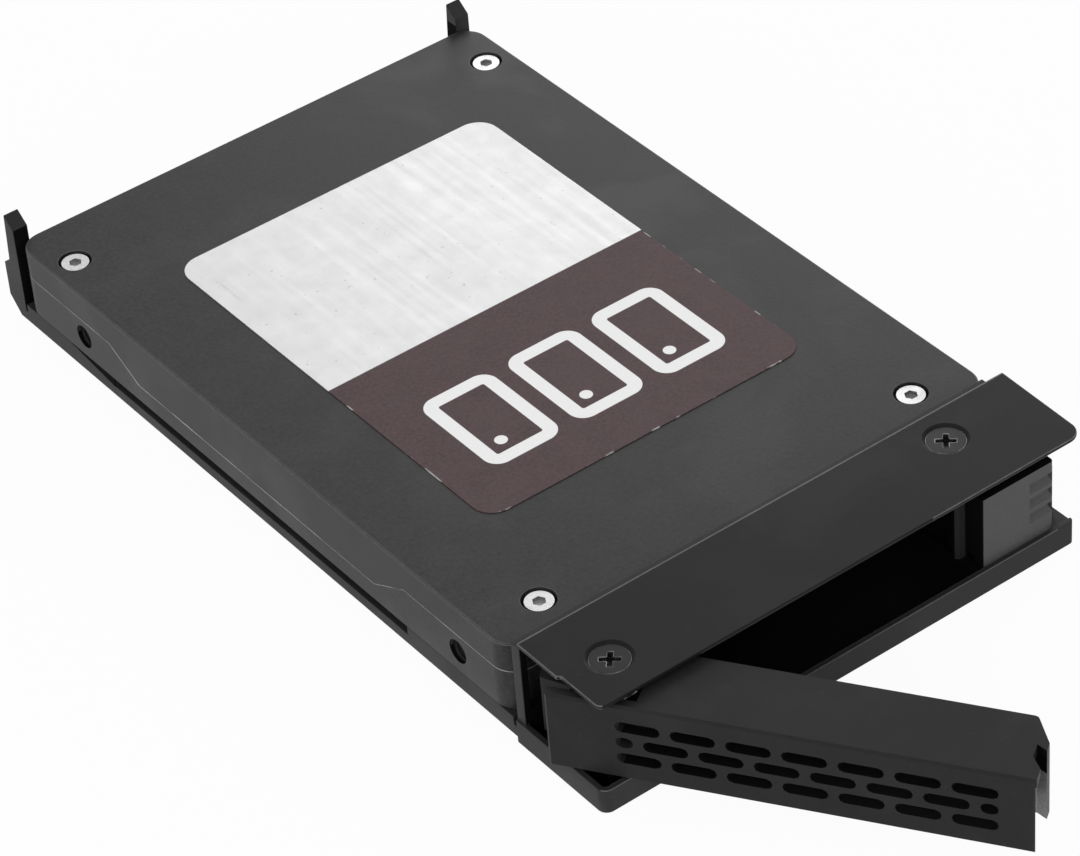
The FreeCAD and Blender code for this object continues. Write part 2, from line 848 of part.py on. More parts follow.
def make_door():
    """Hollow swing door: slotted panel, top wall, latch hook, hinge knuckle and cage claw."""
    panel_back = -door_front + panel_thickness
    front = [
        (-door_left, -door_front, 0),
        (door_right, -door_front, 0),
        (door_right - panel_end_slant, panel_back, 0),
        (-door_left, panel_back, 0),
    ]
    panel = prism(front, door_bottom, door_top)
    panel = chamfer_edges(panel, door_chamfer, lambda edge: edge.BoundBox.YMax < -door_front + 1e-6)
    wall_left = knuckle_r + knuckle_gap
    roof_front = -door_front + door_chamfer
    roof = [
        (wall_left, roof_front, 0),
        (door_right, roof_front, 0),
        (door_right, -notch_front, 0),
        (door_right - notch_depth, -notch_floor_front, 0),
    ]
    roof += door_hook() + [(wall_left, door_rear, 0)]
    hook_left = door_right - notch_depth - hook_wall
    hook = door_hook() + [(hook_left, door_rear, 0), (hook_left, -notch_rear, 0)]
    sill = box(
        wall_left,
        door_right - bottom_wall_short,
        panel_back,
        panel_back + bottom_wall_depth,
        door_bottom,
        door_bottom + bottom_wall,
    )
    reach = claw_reach()
    claw = [
        (-reach, -claw_front, claw_front_r),
        (0, -claw_front - claw_rear / 2, 0),
        (0, knuckle_r, 0),
        (-knuckle_r, knuckle_r - claw_tip_r, 0),
        (-reach, claw_rear, claw_tip_r),
    ]
    pieces = [
        panel,
        prism(roof, door_top - top_wall, door_top),
        prism(hook, door_top - hook_height, door_top),
        sill,
        rod(0, 0, door_bottom, knuckle_top, knuckle_r),
        box(-knuckle_r, knuckle_web, panel_back, 0, door_bottom, knuckle_top),
        prism(claw, door_bottom, knuckle_top),
        spring_lug(),
    ]
    door = fuse(pieces)
    bore = rod(0, 0, door_bottom, door_top, hinge_post_r + hinge_clearance)
    door = cut(door, door_slots() + [bore])
    door.rotate(V(0, 0, 0), UP, -door_open_deg)
    door.translate(V(hinge_x, hinge_y, 0))
    return door


def coil_start_deg():
    """Direction of the door spring's lower end, so that its upper end lies on +X of the hinge."""
    return -360 * (coil_turns % 1)


def spring_lug():
    """Small step on the knuckle that the lower end of the door spring pushes on, with the door shut."""
    inner = hinge_post_r + hinge_clearance
    outer = coil_r + coil_wire_r
    ring = Part.makeCylinder(outer, lug_height, V(0, 0, knuckle_top), UP, lug_deg)
    ring = ring.cut(rod(0, 0, knuckle_top, knuckle_top + lug_height, inner))
    gap_deg = math.degrees(leg_gap / coil_r)
    ring.rotate(V(0, 0, 0), UP, coil_start_deg() - gap_deg - lug_deg + door_open_deg)
    return ring


def spring_wire(places, wire_r):
    """A wire through places, each a centre and the two directions that its section spans."""
    sections = []
    for centre, outward, along in places:
        points = []
        for k in range(wire_sides + 1):
            turn = 2 * math.pi * k / wire_sides
            points.append(centre + outward * (wire_r * math.cos(turn)) + along * (wire_r * math.sin(turn)))
        sections.append(Part.makePolygon(points))
    return Part.makeLoft(sections, True, True)


def make_door_spring():
    """Torsion spring on the hinge post: close coil and one straight leg to the tray's anchor."""
    height = coil_top - coil_bottom
    steps = round(coil_steps * coil_turns)
    places = []
    for k in range(steps + 1):
        turn = 2 * math.pi * coil_turns * (k / steps - 1)
        outward = V(math.cos(turn), math.sin(turn), 0)
        centre = V(hinge_x, hinge_y, coil_bottom + height * k / steps) + outward * coil_r
        places.append((centre, outward, UP))
    leg_end = V(hinge_x + coil_r, frame_front - 2 * leg_gap, coil_top)
    places.append((leg_end, V(1, 0, 0), UP))
    return spring_wire(places, coil_wire_r)


def make_latch_spring():
    """Compression spring between the latch's bore and the tray's stop."""
    start = spring_x0 + latch_wire_r + rib_gap
    length = spring_x1 - latch_wire_r - rib_gap - start
    steps = coil_steps * latch_coil_turns
    places = []
    for k in range(steps + 1):
        turn = 2 * math.pi * k / coil_steps
        outward = V(0, math.cos(turn), math.sin(turn))
        centre = V(start + length * k / steps, spring_y, spring_z) + outward * latch_coil_r
        places.append((centre, outward, V(1, 0, 0)))
    return spring_wire(places, latch_wire_r)


def make_latch():
    """Sliding latch: grooved grip on its front right corner, nib on its left, spring bore on its right."""
    step_y = latch_rear - latch_step_depth
    nib_tip = hinge_x + door_right - notch_depth + nib_gap
    nib_rear = hinge_y - notch_rear - hook_lip - nib_rear_gap
    nib_front = hinge_y - notch_floor_front + nib_gap
    corners = [
        (latch_left, latch_front, latch_corner / 2),
        (latch_right, latch_front, latch_corner),
        (latch_right, step_y, 0),
        (latch_right - latch_step, step_y, 0),
        (latch_right - latch_step, latch_rear, 0),
        (latch_left, latch_rear, 0),
        (latch_left, nib_rear, 0),
        (nib_tip, nib_rear, 0),
        (nib_tip, nib_front + nib_chamfer, 0),
        (nib_tip + nib_chamfer, nib_front, 0),
        (latch_left, nib_front, 0),
    ]
    body = prism(corners, latch_bottom, latch_top)
    bore_r = latch_coil_r + latch_wire_r + spring_bore_gap
    length = spring_bore_depth + latch_step
    bore = Part.makeCylinder(bore_r, length, V(spring_x0, spring_y, spring_z), V(1, 0, 0))
    tools = [guide_rib(rib_gap), bore]
    for k in range(grip_count):
        z = latch_top - grip_from_top - k * grip_pitch
        x0 = latch_right - grip_length
        groove = [
            (x0, latch_front, 0),
            (latch_right + grip_depth, latch_front - grip_depth, 0),
            (latch_right + grip_depth, step_y - grip_depth, 0),
            (latch_right - grip_depth, step_y - grip_depth, 0),
            (latch_right - grip_depth, latch_front + grip_depth, 0),
            (x0 + grip_depth, latch_front + grip_depth, 0),
        ]
        tools.append(prism(groove, z - grip_height / 2, z + grip_height / 2))
    return cut(body, tools)


# Places of the board's pieces, from the connector forwards
board_rear = connector_rear - connector_depth
capacitor_y = board_rear - connector_shelf - capacitor_length / 2
controller_y = capacitor_y - capacitor_length / 2 - flash_gap - controller_size / 2
cache_x = controller_size / 2 + flash_gap + cache_width / 2
flash_y = controller_y - controller_size / 2 - flash_gap - flash_length / 2

parts = {
    "tray_base": make_tray_base(),
    "top_plate": make_top_plate(),
    "plate_screws": make_plate_screws(),
    "door": make_door(),
    "door_spring": make_door_spring(),
    "latch": make_latch(),
    "latch_spring": make_latch_spring(),
    "drive_screws": make_drive_screws(),
    "drive_base": make_drive_base(),
    "drive_cover": make_drive_cover(),
    "cover_screws": make_cover_screws(),
    "drive_label": make_drive_label(),
    "circuit_board": make_circuit_board(),
    "sata_connector": make_sata_connector(),
    "signal_contacts": make_contacts(*blades()[0]),
    "power_contacts": make_contacts(*blades()[1]),
    "controller_chip": chip(0, controller_y, controller_size, controller_size, board_top, chip_height),
    "cache_chip": chip(cache_x, controller_y, cache_width, cache_length, board_top, chip_height),
    "flash_chips": make_flash_chips(),
    "board_capacitors": make_board_capacitors(),
    "thermal_pad": chip(0, controller_y, thermal_pad_size, thermal_pad_size, chip_top, thermal_pad_height),
}

os.makedirs("parts", exist_ok=True)
for name, shape in parts.items():
    shape.exportStep("parts/" + name + ".step")
    print(name, len(shape.Solids), "solids", shape.isValid(), round(shape.Volume, 2), "mm3")
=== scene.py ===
import json
import math

import bpy
from mathutils import Matrix, Vector

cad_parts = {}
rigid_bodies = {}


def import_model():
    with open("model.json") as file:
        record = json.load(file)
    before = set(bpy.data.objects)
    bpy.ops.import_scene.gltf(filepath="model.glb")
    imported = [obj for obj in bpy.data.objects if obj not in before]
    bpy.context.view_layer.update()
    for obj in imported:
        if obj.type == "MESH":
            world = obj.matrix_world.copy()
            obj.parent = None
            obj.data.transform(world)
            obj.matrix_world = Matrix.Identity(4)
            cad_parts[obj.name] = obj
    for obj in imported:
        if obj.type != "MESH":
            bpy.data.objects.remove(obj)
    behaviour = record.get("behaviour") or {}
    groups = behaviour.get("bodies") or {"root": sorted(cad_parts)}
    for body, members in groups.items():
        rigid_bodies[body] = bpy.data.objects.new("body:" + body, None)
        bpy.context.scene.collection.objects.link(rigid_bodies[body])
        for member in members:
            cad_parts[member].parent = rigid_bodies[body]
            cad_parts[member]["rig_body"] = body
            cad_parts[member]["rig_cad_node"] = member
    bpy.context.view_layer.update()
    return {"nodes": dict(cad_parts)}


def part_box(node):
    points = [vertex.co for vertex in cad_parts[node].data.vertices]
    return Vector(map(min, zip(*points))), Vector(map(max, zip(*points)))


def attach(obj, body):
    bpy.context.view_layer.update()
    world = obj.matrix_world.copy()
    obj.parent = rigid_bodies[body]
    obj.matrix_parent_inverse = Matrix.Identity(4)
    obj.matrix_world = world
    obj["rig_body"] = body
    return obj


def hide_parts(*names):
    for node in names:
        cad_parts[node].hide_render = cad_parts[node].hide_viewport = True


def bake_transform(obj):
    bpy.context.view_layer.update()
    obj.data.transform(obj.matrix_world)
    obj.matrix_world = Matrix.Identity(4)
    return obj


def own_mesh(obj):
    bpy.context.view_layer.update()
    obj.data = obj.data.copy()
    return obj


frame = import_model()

# Tray: one injection moulding in dark grey plastic. A thin floor with low pads carries the drive, two
# posts stand behind it, and the lipped slab at the front holds the hinge post and the frame. Its edges
# leave the mould slightly rounded and its faces have a fine grain. Sizes and places are in metres.
tray_colour = (0.023, 0.023, 0.0234)
painted_shade_colour = (0.004, 0.004, 0.0041)
lip_painted_light_colour = (0.095, 0.095, 0.096)
tray_edge = 0.00016
tray_side = 0.0349
floor_top = 0.0015
pad_top = 0.0027
pad_front = 0.0323
gap_rear = 0.0425
drive_rear = 0.0522
post_inside = 0.0325
post_shade = 0.0128
lip_top = 0.0033
bay_low = Vector((-0.0346, -0.0642, 0.0004))
bay_high = Vector((0.0303, -0.0493, 0.01455))

# How far a face looks along an axis, as the least share of its normal.
squarely, partly = 0.9, 0.3

# Cleaning of a mesh and rounding of its edges.
merge_gap = 0.000001
flat_angle = math.radians(0.5)
sharp_angle = math.radians(30)
smooth_angle = math.radians(40)

# Surface effects: where most of a noise pattern lies, and how grain and wear show in a finish.
noise_low, noise_high = 0.3, 0.7
fine_weight, coarse_weight = 0.7, 0.3
coarse_per_fine = 0.17
specks_per_blotch = 14.0
blotch_from, blotch_full = 0.46, 0.7
speck_from, speck_full = 0.73, 0.78
blotch_share, speck_share = 0.35, 0.5
worn_gain, worn_lift = 1.5, 0.01
grain_gloss, worn_gloss = 0.06, 0.1
grain_relief = 0.00003


def only(piece):
    """Makes one piece the selected and active one."""
    bpy.ops.object.select_all(action="DESELECT")
    piece.select_set(True)
    bpy.context.view_layer.objects.active = piece


def merged_copy(node, piece, *finishes):
    """A copy of a CAD node with its corners joined, its flat faces whole again and its finishes on."""
    only(frame["nodes"][node])
    bpy.ops.object.duplicate()
    copy = bpy.context.active_object
    copy.name = piece
    copy.data.name = piece
    copy.parent = None
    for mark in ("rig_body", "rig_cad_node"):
        del copy[mark]
    copy.data.materials.clear()
    for finish in finishes:
        copy.data.materials.append(finish)
    bpy.ops.mesh.customdata_custom_splitnormals_clear()
    bpy.ops.object.mode_set(mode="EDIT")
    bpy.ops.mesh.select_all(action="SELECT")
    bpy.ops.mesh.remove_doubles(threshold=merge_gap)
    bpy.ops.mesh.dissolve_limited(angle_limit=flat_angle)
    bpy.ops.object.mode_set(mode="OBJECT")
    return copy


def pick_points(piece, is_picked):
    """Opens one piece in edit mode with only the points selected that a test picks."""
    only(piece)
    bpy.ops.object.mode_set(mode="EDIT")
    bpy.ops.mesh.select_all(action="DESELECT")
    bpy.ops.object.mode_set(mode="OBJECT")
    for vertex in piece.data.vertices:
        vertex.select = is_picked(vertex.co)
    bpy.ops.object.mode_set(mode="EDIT")


def cut_faces(piece, place_at, normal, is_picked=lambda point: True):
    """Cuts the faces whose points a test picks along a plane; the shape stays as it is."""
    pick_points(piece, is_picked)
    bpy.ops.mesh.bisect(plane_co=place_at, plane_no=normal)
    bpy.ops.object.mode_set(mode="OBJECT")


def apply_modifier(piece, modifier):
    """Applies a modifier to a piece."""
    only(piece)
    bpy.ops.object.modifier_apply(modifier=modifier.name)


def round_edges(piece, width, segments=2, edge_finish=None):
    """Rounds the sharp edges of a piece, if asked with a finish of their own, and smooths the rest."""
    bevel = piece.modifiers.new("edge round", "BEVEL")
    bevel.width = width
    bevel.segments = segments
    bevel.limit_method = "ANGLE"
    bevel.angle_limit = sharp_angle
    bevel.use_clamp_overlap = True
    bevel.material = piece.data.materials.find(edge_finish.name) if edge_finish else -1
    apply_modifier(piece, bevel)
    bpy.ops.object.shade_smooth_by_angle(angle=smooth_angle)
    even = piece.modifiers.new("flat faces stay flat", "WEIGHTED_NORMAL")
    even.weight = 100
    even.keep_sharp = True
    apply_modifier(piece, even)


def refinish(piece, finish, is_picked):
    """Gives the faces that a test picks another of the piece's finishes."""
    slot = piece.data.materials.find(finish.name)
    for face in piece.data.polygons:
        if is_picked(face):
            face.material_index = slot


def is_inside(point, low, high):
    """Whether a point lies in a box."""
    return all(least < at < most for least, at, most in zip(low, point, high))


def place(piece, body, slot, *nodes):
    """Gives a finished piece its body and hides the CAD nodes it stands for; the slot is not used."""
    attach(piece, body)
    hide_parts(*nodes)


def feed(tree, socket, value):
    """Sets a socket to a number or a colour, or links it to another socket."""
    if isinstance(value, (int, float)):
        socket.default_value = value
    elif isinstance(value, tuple):
        socket.default_value = (*value, 1.0)
    else:
        tree.links.new(value, socket)


def effect_group(name, inputs, outputs):
    """An empty shader group with number inputs and number outputs."""
    group = bpy.data.node_groups.new(name, "ShaderNodeTree")
    for label, value in inputs:
        socket = group.interface.new_socket(label, in_out="INPUT", socket_type="NodeSocketFloat")
        socket.default_value = value
    for label in outputs:
        group.interface.new_socket(label, in_out="OUTPUT", socket_type="NodeSocketFloat")
    return group, group.nodes.new("NodeGroupInput"), group.nodes.new("NodeGroupOutput")


def use_group(tree, group, **values):
    """A group placed in a material, with its inputs set."""
    node = tree.nodes.new("ShaderNodeGroup")
    node.node_tree = group
    for label, value in values.items():
        node.inputs[label.replace("_", " ")].default_value = value
    return node.outputs


def object_coordinates(tree):
    """The piece's own coordinates in metres."""
    return tree.nodes.new("ShaderNodeTexCoord").outputs["Object"]


def math_node(tree, operation, first, second=None):
    """A Math node fed by sockets or numbers."""
    node = tree.nodes.new("ShaderNodeMath")
    node.operation = operation
    feed(tree, node.inputs[0], first)
    if second is not None:
        feed(tree, node.inputs[1], second)
    return node.outputs[0]


def noise(tree, vector, scale, detail, distortion=0.0):
    """A noise pattern on a vector; the scale is a socket or a number."""
    node = tree.nodes.new("ShaderNodeTexNoise")
    node.inputs["Detail"].default_value = detail
    node.inputs["Distortion"].default_value = distortion
    tree.links.new(vector, node.inputs["Vector"])
    feed(tree, node.inputs["Scale"], scale)
    return node.outputs["Fac"]


def spread(tree, value, low, high, to_low, to_high, smooth=False):
    """A value moved from one range to another."""
    node = tree.nodes.new("ShaderNodeMapRange")
    if smooth:
        node.interpolation_type = "SMOOTHSTEP"
    tree.links.new(value, node.inputs["Value"])
    for label, end in (("From Min", low), ("From Max", high), ("To Min", to_low), ("To Max", to_high)):
        feed(tree, node.inputs[label], end)
    return node.outputs["Result"]


def vary(tree, pattern, to_low, to_high):
    """A noise pattern spread over a range, from where most of the pattern lies."""
    return spread(tree, pattern, noise_low, noise_high, to_low, to_high)


def tint(tree, mode, amount, first, second):
    """A colour mix; colours and the amount are sockets or values."""
    node = tree.nodes.new("ShaderNodeMix")
    node.data_type = "RGBA"
    node.blend_type = mode
    first_socket, second_socket = [socket for socket in node.inputs if socket.type == "RGBA"]
    feed(tree, node.inputs[0], amount)
    feed(tree, first_socket, first)
    feed(tree, second_socket, second)
    return [socket for socket in node.outputs if socket.type == "RGBA"][0]


def tone_by(tree, colour, tone):
    """A colour made lighter and darker by a pattern."""
    return tint(tree, "MULTIPLY", 1.0, colour, tone)


def lay_over(tree, base, colour, mask, share):
    """A colour laid thinly over another one where a mask shows it."""
    return tint(tree, "MIX", math_node(tree, "MULTIPLY", mask, share), base, colour)


def add_relief(tree, shader, height, strength, distance):
    """Raises and sinks a surface by a pattern."""
    relief = tree.nodes.new("ShaderNodeBump")
    relief.inputs["Strength"].default_value = strength
    relief.inputs["Distance"].default_value = distance
    tree.links.new(height, relief.inputs["Height"])
    tree.links.new(relief.outputs["Normal"], shader.inputs["Normal"])


def new_finish(name):
    """An empty material and its shader."""
    material = bpy.data.materials.new(name)
    material.use_nodes = True
    return material, material.node_tree, material.node_tree.nodes["Principled BSDF"]


grain_group, grain_in, grain_out = effect_group(
    "surface grain", [("Cells Per Metre", 3000.0), ("Tone Range", 0.1)], ["Height", "Tone"]
)
grain_vector = object_coordinates(grain_group)
fine_scale = grain_in.outputs["Cells Per Metre"]
coarse_scale = math_node(grain_group, "MULTIPLY", fine_scale, coarse_per_fine)
fine_grain = noise(grain_group, grain_vector, fine_scale, detail=3.0)
coarse_grain = noise(grain_group, grain_vector, coarse_scale, detail=2.0)
grain_mix = math_node(
    grain_group, "ADD",
    math_node(grain_group, "MULTIPLY", fine_grain, fine_weight),
    math_node(grain_group, "MULTIPLY", coarse_grain, coarse_weight),
)
tone_low = math_node(grain_group, "SUBTRACT", 1.0, grain_in.outputs["Tone Range"])
tone_high = math_node(grain_group, "ADD", 1.0, grain_in.outputs["Tone Range"])
grain_group.links.new(grain_mix, grain_out.inputs["Height"])
grain_group.links.new(vary(grain_group, grain_mix, tone_low, tone_high), grain_out.inputs["Tone"])

marks_group, marks_in, marks_out = effect_group(
    "handling marks", [("Cells Per Metre", 70.0), ("Amount", 0.5)], ["Marks", "Specks"]
)
marks_vector = object_coordinates(marks_group)
blotch_scale = marks_in.outputs["Cells Per Metre"]
speck_scale = math_node(marks_group, "MULTIPLY", blotch_scale, specks_per_blotch)
blotches = noise(marks_group, marks_vector, blotch_scale, detail=5.0, distortion=0.6)
specks = noise(marks_group, marks_vector, speck_scale, detail=1.0)
blotch_mask = spread(marks_group, blotches, blotch_from, blotch_full, 0.0, 1.0, smooth=True)
speck_mask = spread(marks_group, specks, speck_from, speck_full, 0.0, 1.0)
for mask, output in ((blotch_mask, "Marks"), (speck_mask, "Specks")):
    shown = math_node(marks_group, "MULTIPLY", mask, marks_in.outputs["Amount"])
    marks_group.links.new(shown, marks_out.inputs[output])


def grained_finish(name, colour, roughness, specular, cells, depth, tone, marks):
    """A dull coat or moulding: grain in its colour, gloss and relief, with soft marks from handling."""
    material, tree, shader = new_finish(name)
    grain = use_group(tree, grain_group, Cells_Per_Metre=cells, Tone_Range=tone)
    worn = use_group(tree, marks_group, Amount=marks)
    lighter = tuple(min(1.0, part * worn_gain + worn_lift) for part in colour)
    toned = tone_by(tree, colour, grain["Tone"])
    marked = lay_over(tree, toned, lighter, worn["Marks"], blotch_share)
    specked = lay_over(tree, marked, lighter, worn["Specks"], speck_share)
    tree.links.new(specked, shader.inputs["Base Color"])
    rough = vary(tree, grain["Height"], roughness - grain_gloss, roughness + grain_gloss)
    polish = math_node(tree, "MULTIPLY", worn["Marks"], -worn_gloss)
    tree.links.new(math_node(tree, "ADD", rough, polish), shader.inputs["Roughness"])
    shader.inputs["Specular IOR Level"].default_value = specular
    add_relief(tree, shader, grain["Height"], depth, grain_relief)
    return material


tray_finish = grained_finish(
    "tray moulding", tray_colour,
    roughness=0.5, specular=0.12, cells=3200.0, depth=0.35, tone=0.16, marks=0.6,
)
painted_shade_finish = grained_finish(
    "moulding in painted shade", painted_shade_colour,
    roughness=0.8, specular=0.03, cells=3200.0, depth=0.35, tone=0.16, marks=0.2,
)
lip_painted_light_finish = grained_finish(
    "lip in painted light", lip_painted_light_colour,
    roughness=0.5, specular=0.12, cells=3200.0, depth=0.35, tone=0.16, marks=0.6,
)
tray = merged_copy("tray_base", "tray_moulding", tray_finish, painted_shade_finish, lip_painted_light_finish)
gap_start = Vector((0, gap_rear, pad_top))
gap_slope = Vector((0, floor_top - pad_top, gap_rear - pad_front)).normalized()


def on_rear_side(point):
    """Whether a point of the tray is on its long sides, on or above the floor's top at the rear."""
    return abs(point.x) > tray_side and point.z > floor_top - merge_gap and point.y > 0


def on_right_post(point):
    """Whether a point of the tray is on the right rear post."""
    return point.x > post_inside and point.y > drive_rear


cut_faces(tray, (bay_high.x, 0, 0), (1, 0, 0))
cut_faces(tray, (0, 0, floor_top), (0, 0, 1), lambda point: abs(point.x) > tray_side)
cut_faces(tray, gap_start, gap_slope, on_rear_side)
cut_faces(tray, (0, 0, post_shade), (0, 0, 1), on_right_post)
round_edges(tray, tray_edge)

# Painted shade on the tray: the door bay, the faces of the rear posts next to the drive and the run-out of
# the gap below it are part of the same moulding, painted darker and duller as shade, while painted light
# makes the top of the lip in front of the bay paler.


def is_lip_top(face):
    """Whether a face of the tray is level with the top of the slab's lip."""
    return face.normal.z > partly and abs(face.center.z - lip_top) < tray_edge


def on_front_lip(face):
    """Whether a face of the tray is the top of the lip in front of the door bay."""
    return is_lip_top(face) and face.center.y < bay_low.y and face.center.x < bay_high.x


def in_bay(face):
    """Whether a face of the tray lies in the door bay, the lip's top apart."""
    return not is_lip_top(face) and is_inside(face.center, bay_low, bay_high)


def behind_drive(face):
    """Whether a face is the front of the left rear post or low on the left side of the right one."""
    at = face.center
    on_left = at.x < 0 and face.normal.y < -squarely
    on_right = at.x > post_inside and face.normal.x < -squarely and at.z < post_shade
    return at.y > drive_rear and (on_left or on_right)


def in_gap(face):
    """Whether a face lies on the side of a rear pad, where the gap below the drive runs out."""
    at = face.center
    on_side = abs(at.x) > tray_side - tray_edge and abs(face.normal.x) > partly
    on_pad = at.y > 0 and floor_top < at.z < pad_top
    return on_side and on_pad and (at - gap_start).dot(gap_slope) > 0


# Painted shade: the bay, the rear posts and the run-out of the gap get the near-black finish.
for is_shaded in (in_bay, behind_drive, in_gap):
    refinish(tray, painted_shade_finish, is_shaded)
# Painted light: the top of the lip in front of the bay gets the paler finish.
refinish(tray, lip_painted_light_finish, on_front_lip)
place(tray, "tray", "tray_plastic", "tray_base")

# Drive lower shell: a die-cast aluminium tub with a satin dark grey coat, a little lighter than the lid's
# as painted light. Its corners rise as ears that take the lid's screws, and each long side has two tapped
# holes for the screws of other brackets. Each thread is a sharp ridge wound in its hole. Its pale edges are
# partly worn coat and partly painted highlight, and painted shade darkens its side holes and the rounded
# edge below its sides.
shell_painted_light_colour = (0.027, 0.027, 0.0273)
worn_and_highlight_colour = (0.3, 0.3, 0.3)
thread_colour = (0.035, 0.035, 0.035)
shell_edge = 0.0002
side_hole_r = 0.0015
side_hole_x = 0.034925
side_hole_y = 0.0383
side_hole_z = 0.0057
thread_sides = 3
thread_section = 0.00022
thread_pitch = 0.0005
thread_turns = 4
thread_steps = 24
thread_angle = math.radians(32)
hole_wall = 0.95

shell_painted_light_finish = grained_finish(
    "satin shell coat in painted light", shell_painted_light_colour,
    roughness=0.42, specular=0.15, cells=1900.0, depth=0.5, tone=0.5, marks=0.6,
)
worn_and_highlight_finish = grained_finish(
    "coat worn on edges with painted highlight", worn_and_highlight_colour,
    roughness=0.34, specular=0.4, cells=170.0, depth=0.3, tone=1.0, marks=1.0,
)
thread_finish = grained_finish(
    "cut thread", thread_colour,
    roughness=0.6, specular=0.05, cells=3000.0, depth=0.3, tone=0.3, marks=0.5,
)
lower_shell = merged_copy("drive_base", "drive_lower_shell", shell_painted_light_finish, worn_and_highlight_finish, painted_shade_finish)
# Pale rounded edges: partly worn coat, partly painted highlight.
round_edges(lower_shell, shell_edge, edge_finish=worn_and_highlight_finish)


def wound(name, finish, sides, section_r, coil_r, turns, length, steps, axis):
    """A section of so many sides wound about X or Z at the origin, in so many steps per turn."""
    bpy.ops.object.select_all(action="DESELECT")
    upright = (0, 0, 0) if axis == "X" else (math.radians(90), 0, 0)
    bpy.ops.mesh.primitive_circle_add(vertices=sides, radius=section_r, rotation=upright)
    coil = bpy.context.active_object
    coil.name = name
    coil.data.name = name
    coil.data.materials.append(finish)
    bpy.ops.object.transform_apply(location=False, rotation=True, scale=False)
    bpy.ops.object.mode_set(mode="EDIT")
    bpy.ops.mesh.select_all(action="SELECT")
    bpy.ops.transform.translate(value=(0, coil_r, 0) if axis == "X" else (coil_r, 0, 0))
    bpy.ops.object.mode_set(mode="OBJECT")
    winding = coil.modifiers.new("winding", "SCREW")
    winding.axis = axis
    winding.angle = 2 * math.pi * turns
    winding.screw_offset = length
    winding.steps = round(steps * abs(turns))
    winding.render_steps = winding.steps
    apply_modifier(coil, winding)
    return coil


thread = wound(
    "side_hole_thread", thread_finish, thread_sides, thread_section, side_hole_r,
    thread_turns, thread_pitch * thread_turns, thread_steps, "X",
)
thread.location = (thread_section - side_hole_x, -side_hole_y, side_hole_z)
bpy.ops.object.transform_apply(location=True, rotation=False, scale=False)
bpy.ops.object.mode_set(mode="EDIT")
bpy.ops.mesh.select_all(action="SELECT")
bpy.ops.mesh.normals_make_consistent(inside=False)
bpy.ops.object.mode_set(mode="OBJECT")
bpy.ops.object.shade_smooth_by_angle(angle=thread_angle)
threads = [thread]
for turned, along in ((0, 2 * side_hole_y), (math.pi, 0), (math.pi, -2 * side_hole_y)):
    only(thread)
    bpy.ops.object.duplicate()
    copied = bpy.context.active_object
    copied.location = (0, along, 0)
    copied.rotation_euler = (0, 0, turned)
    bpy.ops.object.transform_apply(location=True, rotation=True, scale=False)
    threads.append(copied)
shell_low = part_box("drive_base")[0]


def in_shell_shade(face):
    """Whether a face of the lower shell lies in a side hole or on the rounded edge below the sides."""
    from_axis = math.hypot(abs(face.center.y) - side_hole_y, face.center.z - side_hole_z)
    in_hole = from_axis < side_hole_r + shell_edge and abs(face.normal.x) < hole_wall
    return in_hole or merge_gap < face.center.z - shell_low.z < shell_edge


# Painted shade: the side holes and the rounded edge below the sides get the near-black finish.
refinish(lower_shell, painted_shade_finish, in_shell_shade)
only(lower_shell)
for made in threads:
    made.select_set(True)
bpy.ops.object.join()
place(lower_shell, "tray", "drive_coat", "drive_base")

# Circuit board inside the drive: green solder mask over copper on glass laminate, cut to pass between the
# ears. The mask shows the copper pour under it as slightly lighter lines.
board_colour = (0.012, 0.075, 0.03)
copper_colour = (0.03, 0.15, 0.06)
trace_cells = 260.0
trace_width = 0.09
trace_depth = 0.3
board_roughness = (0.24, 0.36)
board_finish, board_tree, board_shader = new_finish("solder mask")
board_grain = use_group(board_tree, grain_group, Cells_Per_Metre=1500.0, Tone_Range=0.12)
trace_pattern = board_tree.nodes.new("ShaderNodeTexBrick")
trace_pattern.inputs["Scale"].default_value = trace_cells
trace_pattern.inputs["Mortar Size"].default_value = trace_width
board_tree.links.new(object_coordinates(board_tree), trace_pattern.inputs["Vector"])
traces = tint(board_tree, "MIX", trace_pattern.outputs["Fac"], board_colour, copper_colour)
board_tone = tone_by(board_tree, traces, board_grain["Tone"])
board_tree.links.new(board_tone, board_shader.inputs["Base Color"])
board_rough = vary(board_tree, board_grain["Height"], *board_roughness)
board_tree.links.new(board_rough, board_shader.inputs["Roughness"])
add_relief(board_tree, board_shader, trace_pattern.outputs["Fac"], trace_depth, grain_relief)


def dress_node(node, material):
    """Gives a CAD node that keeps its shape its finished material."""
    frame["nodes"][node].data.materials.clear()
    frame["nodes"][node].data.materials.append(material)


dress_node("circuit_board", board_finish)

# Memory, cache and controller packages: black moulding resin, matt from the mould, soldered to the board.
# The capacitors beside the plug are tan resin blocks.
resin_colour = (0.02, 0.02, 0.021)
capacitor_colour = (0.4, 0.24, 0.07)
resin_finish = grained_finish(
    "chip resin", resin_colour,
    roughness=0.55, specular=0.35, cells=5200.0, depth=0.4, tone=0.15, marks=0.3,
)
capacitor_finish = grained_finish(
    "capacitor resin", capacitor_colour,
    roughness=0.45, specular=0.4, cells=4800.0, depth=0.3, tone=0.12, marks=0.3,
)
for node in ("controller_chip", "cache_chip", "flash_chips"):
    dress_node(node, resin_finish)
dress_node("board_capacitors", capacitor_finish)

# Thermal pad: a soft grey-blue silicone square that carries heat from the controller to the lid. It is
# cut from sheet and held by being squeezed between the two.
pad_colour = (0.3, 0.36, 0.43)
pad_finish = grained_finish(
    "silicone pad", pad_colour,
    roughness=0.8, specular=0.3, cells=2600.0, depth=0.5, tone=0.1, marks=0.4,
)
dress_node("thermal_pad", pad_finish)

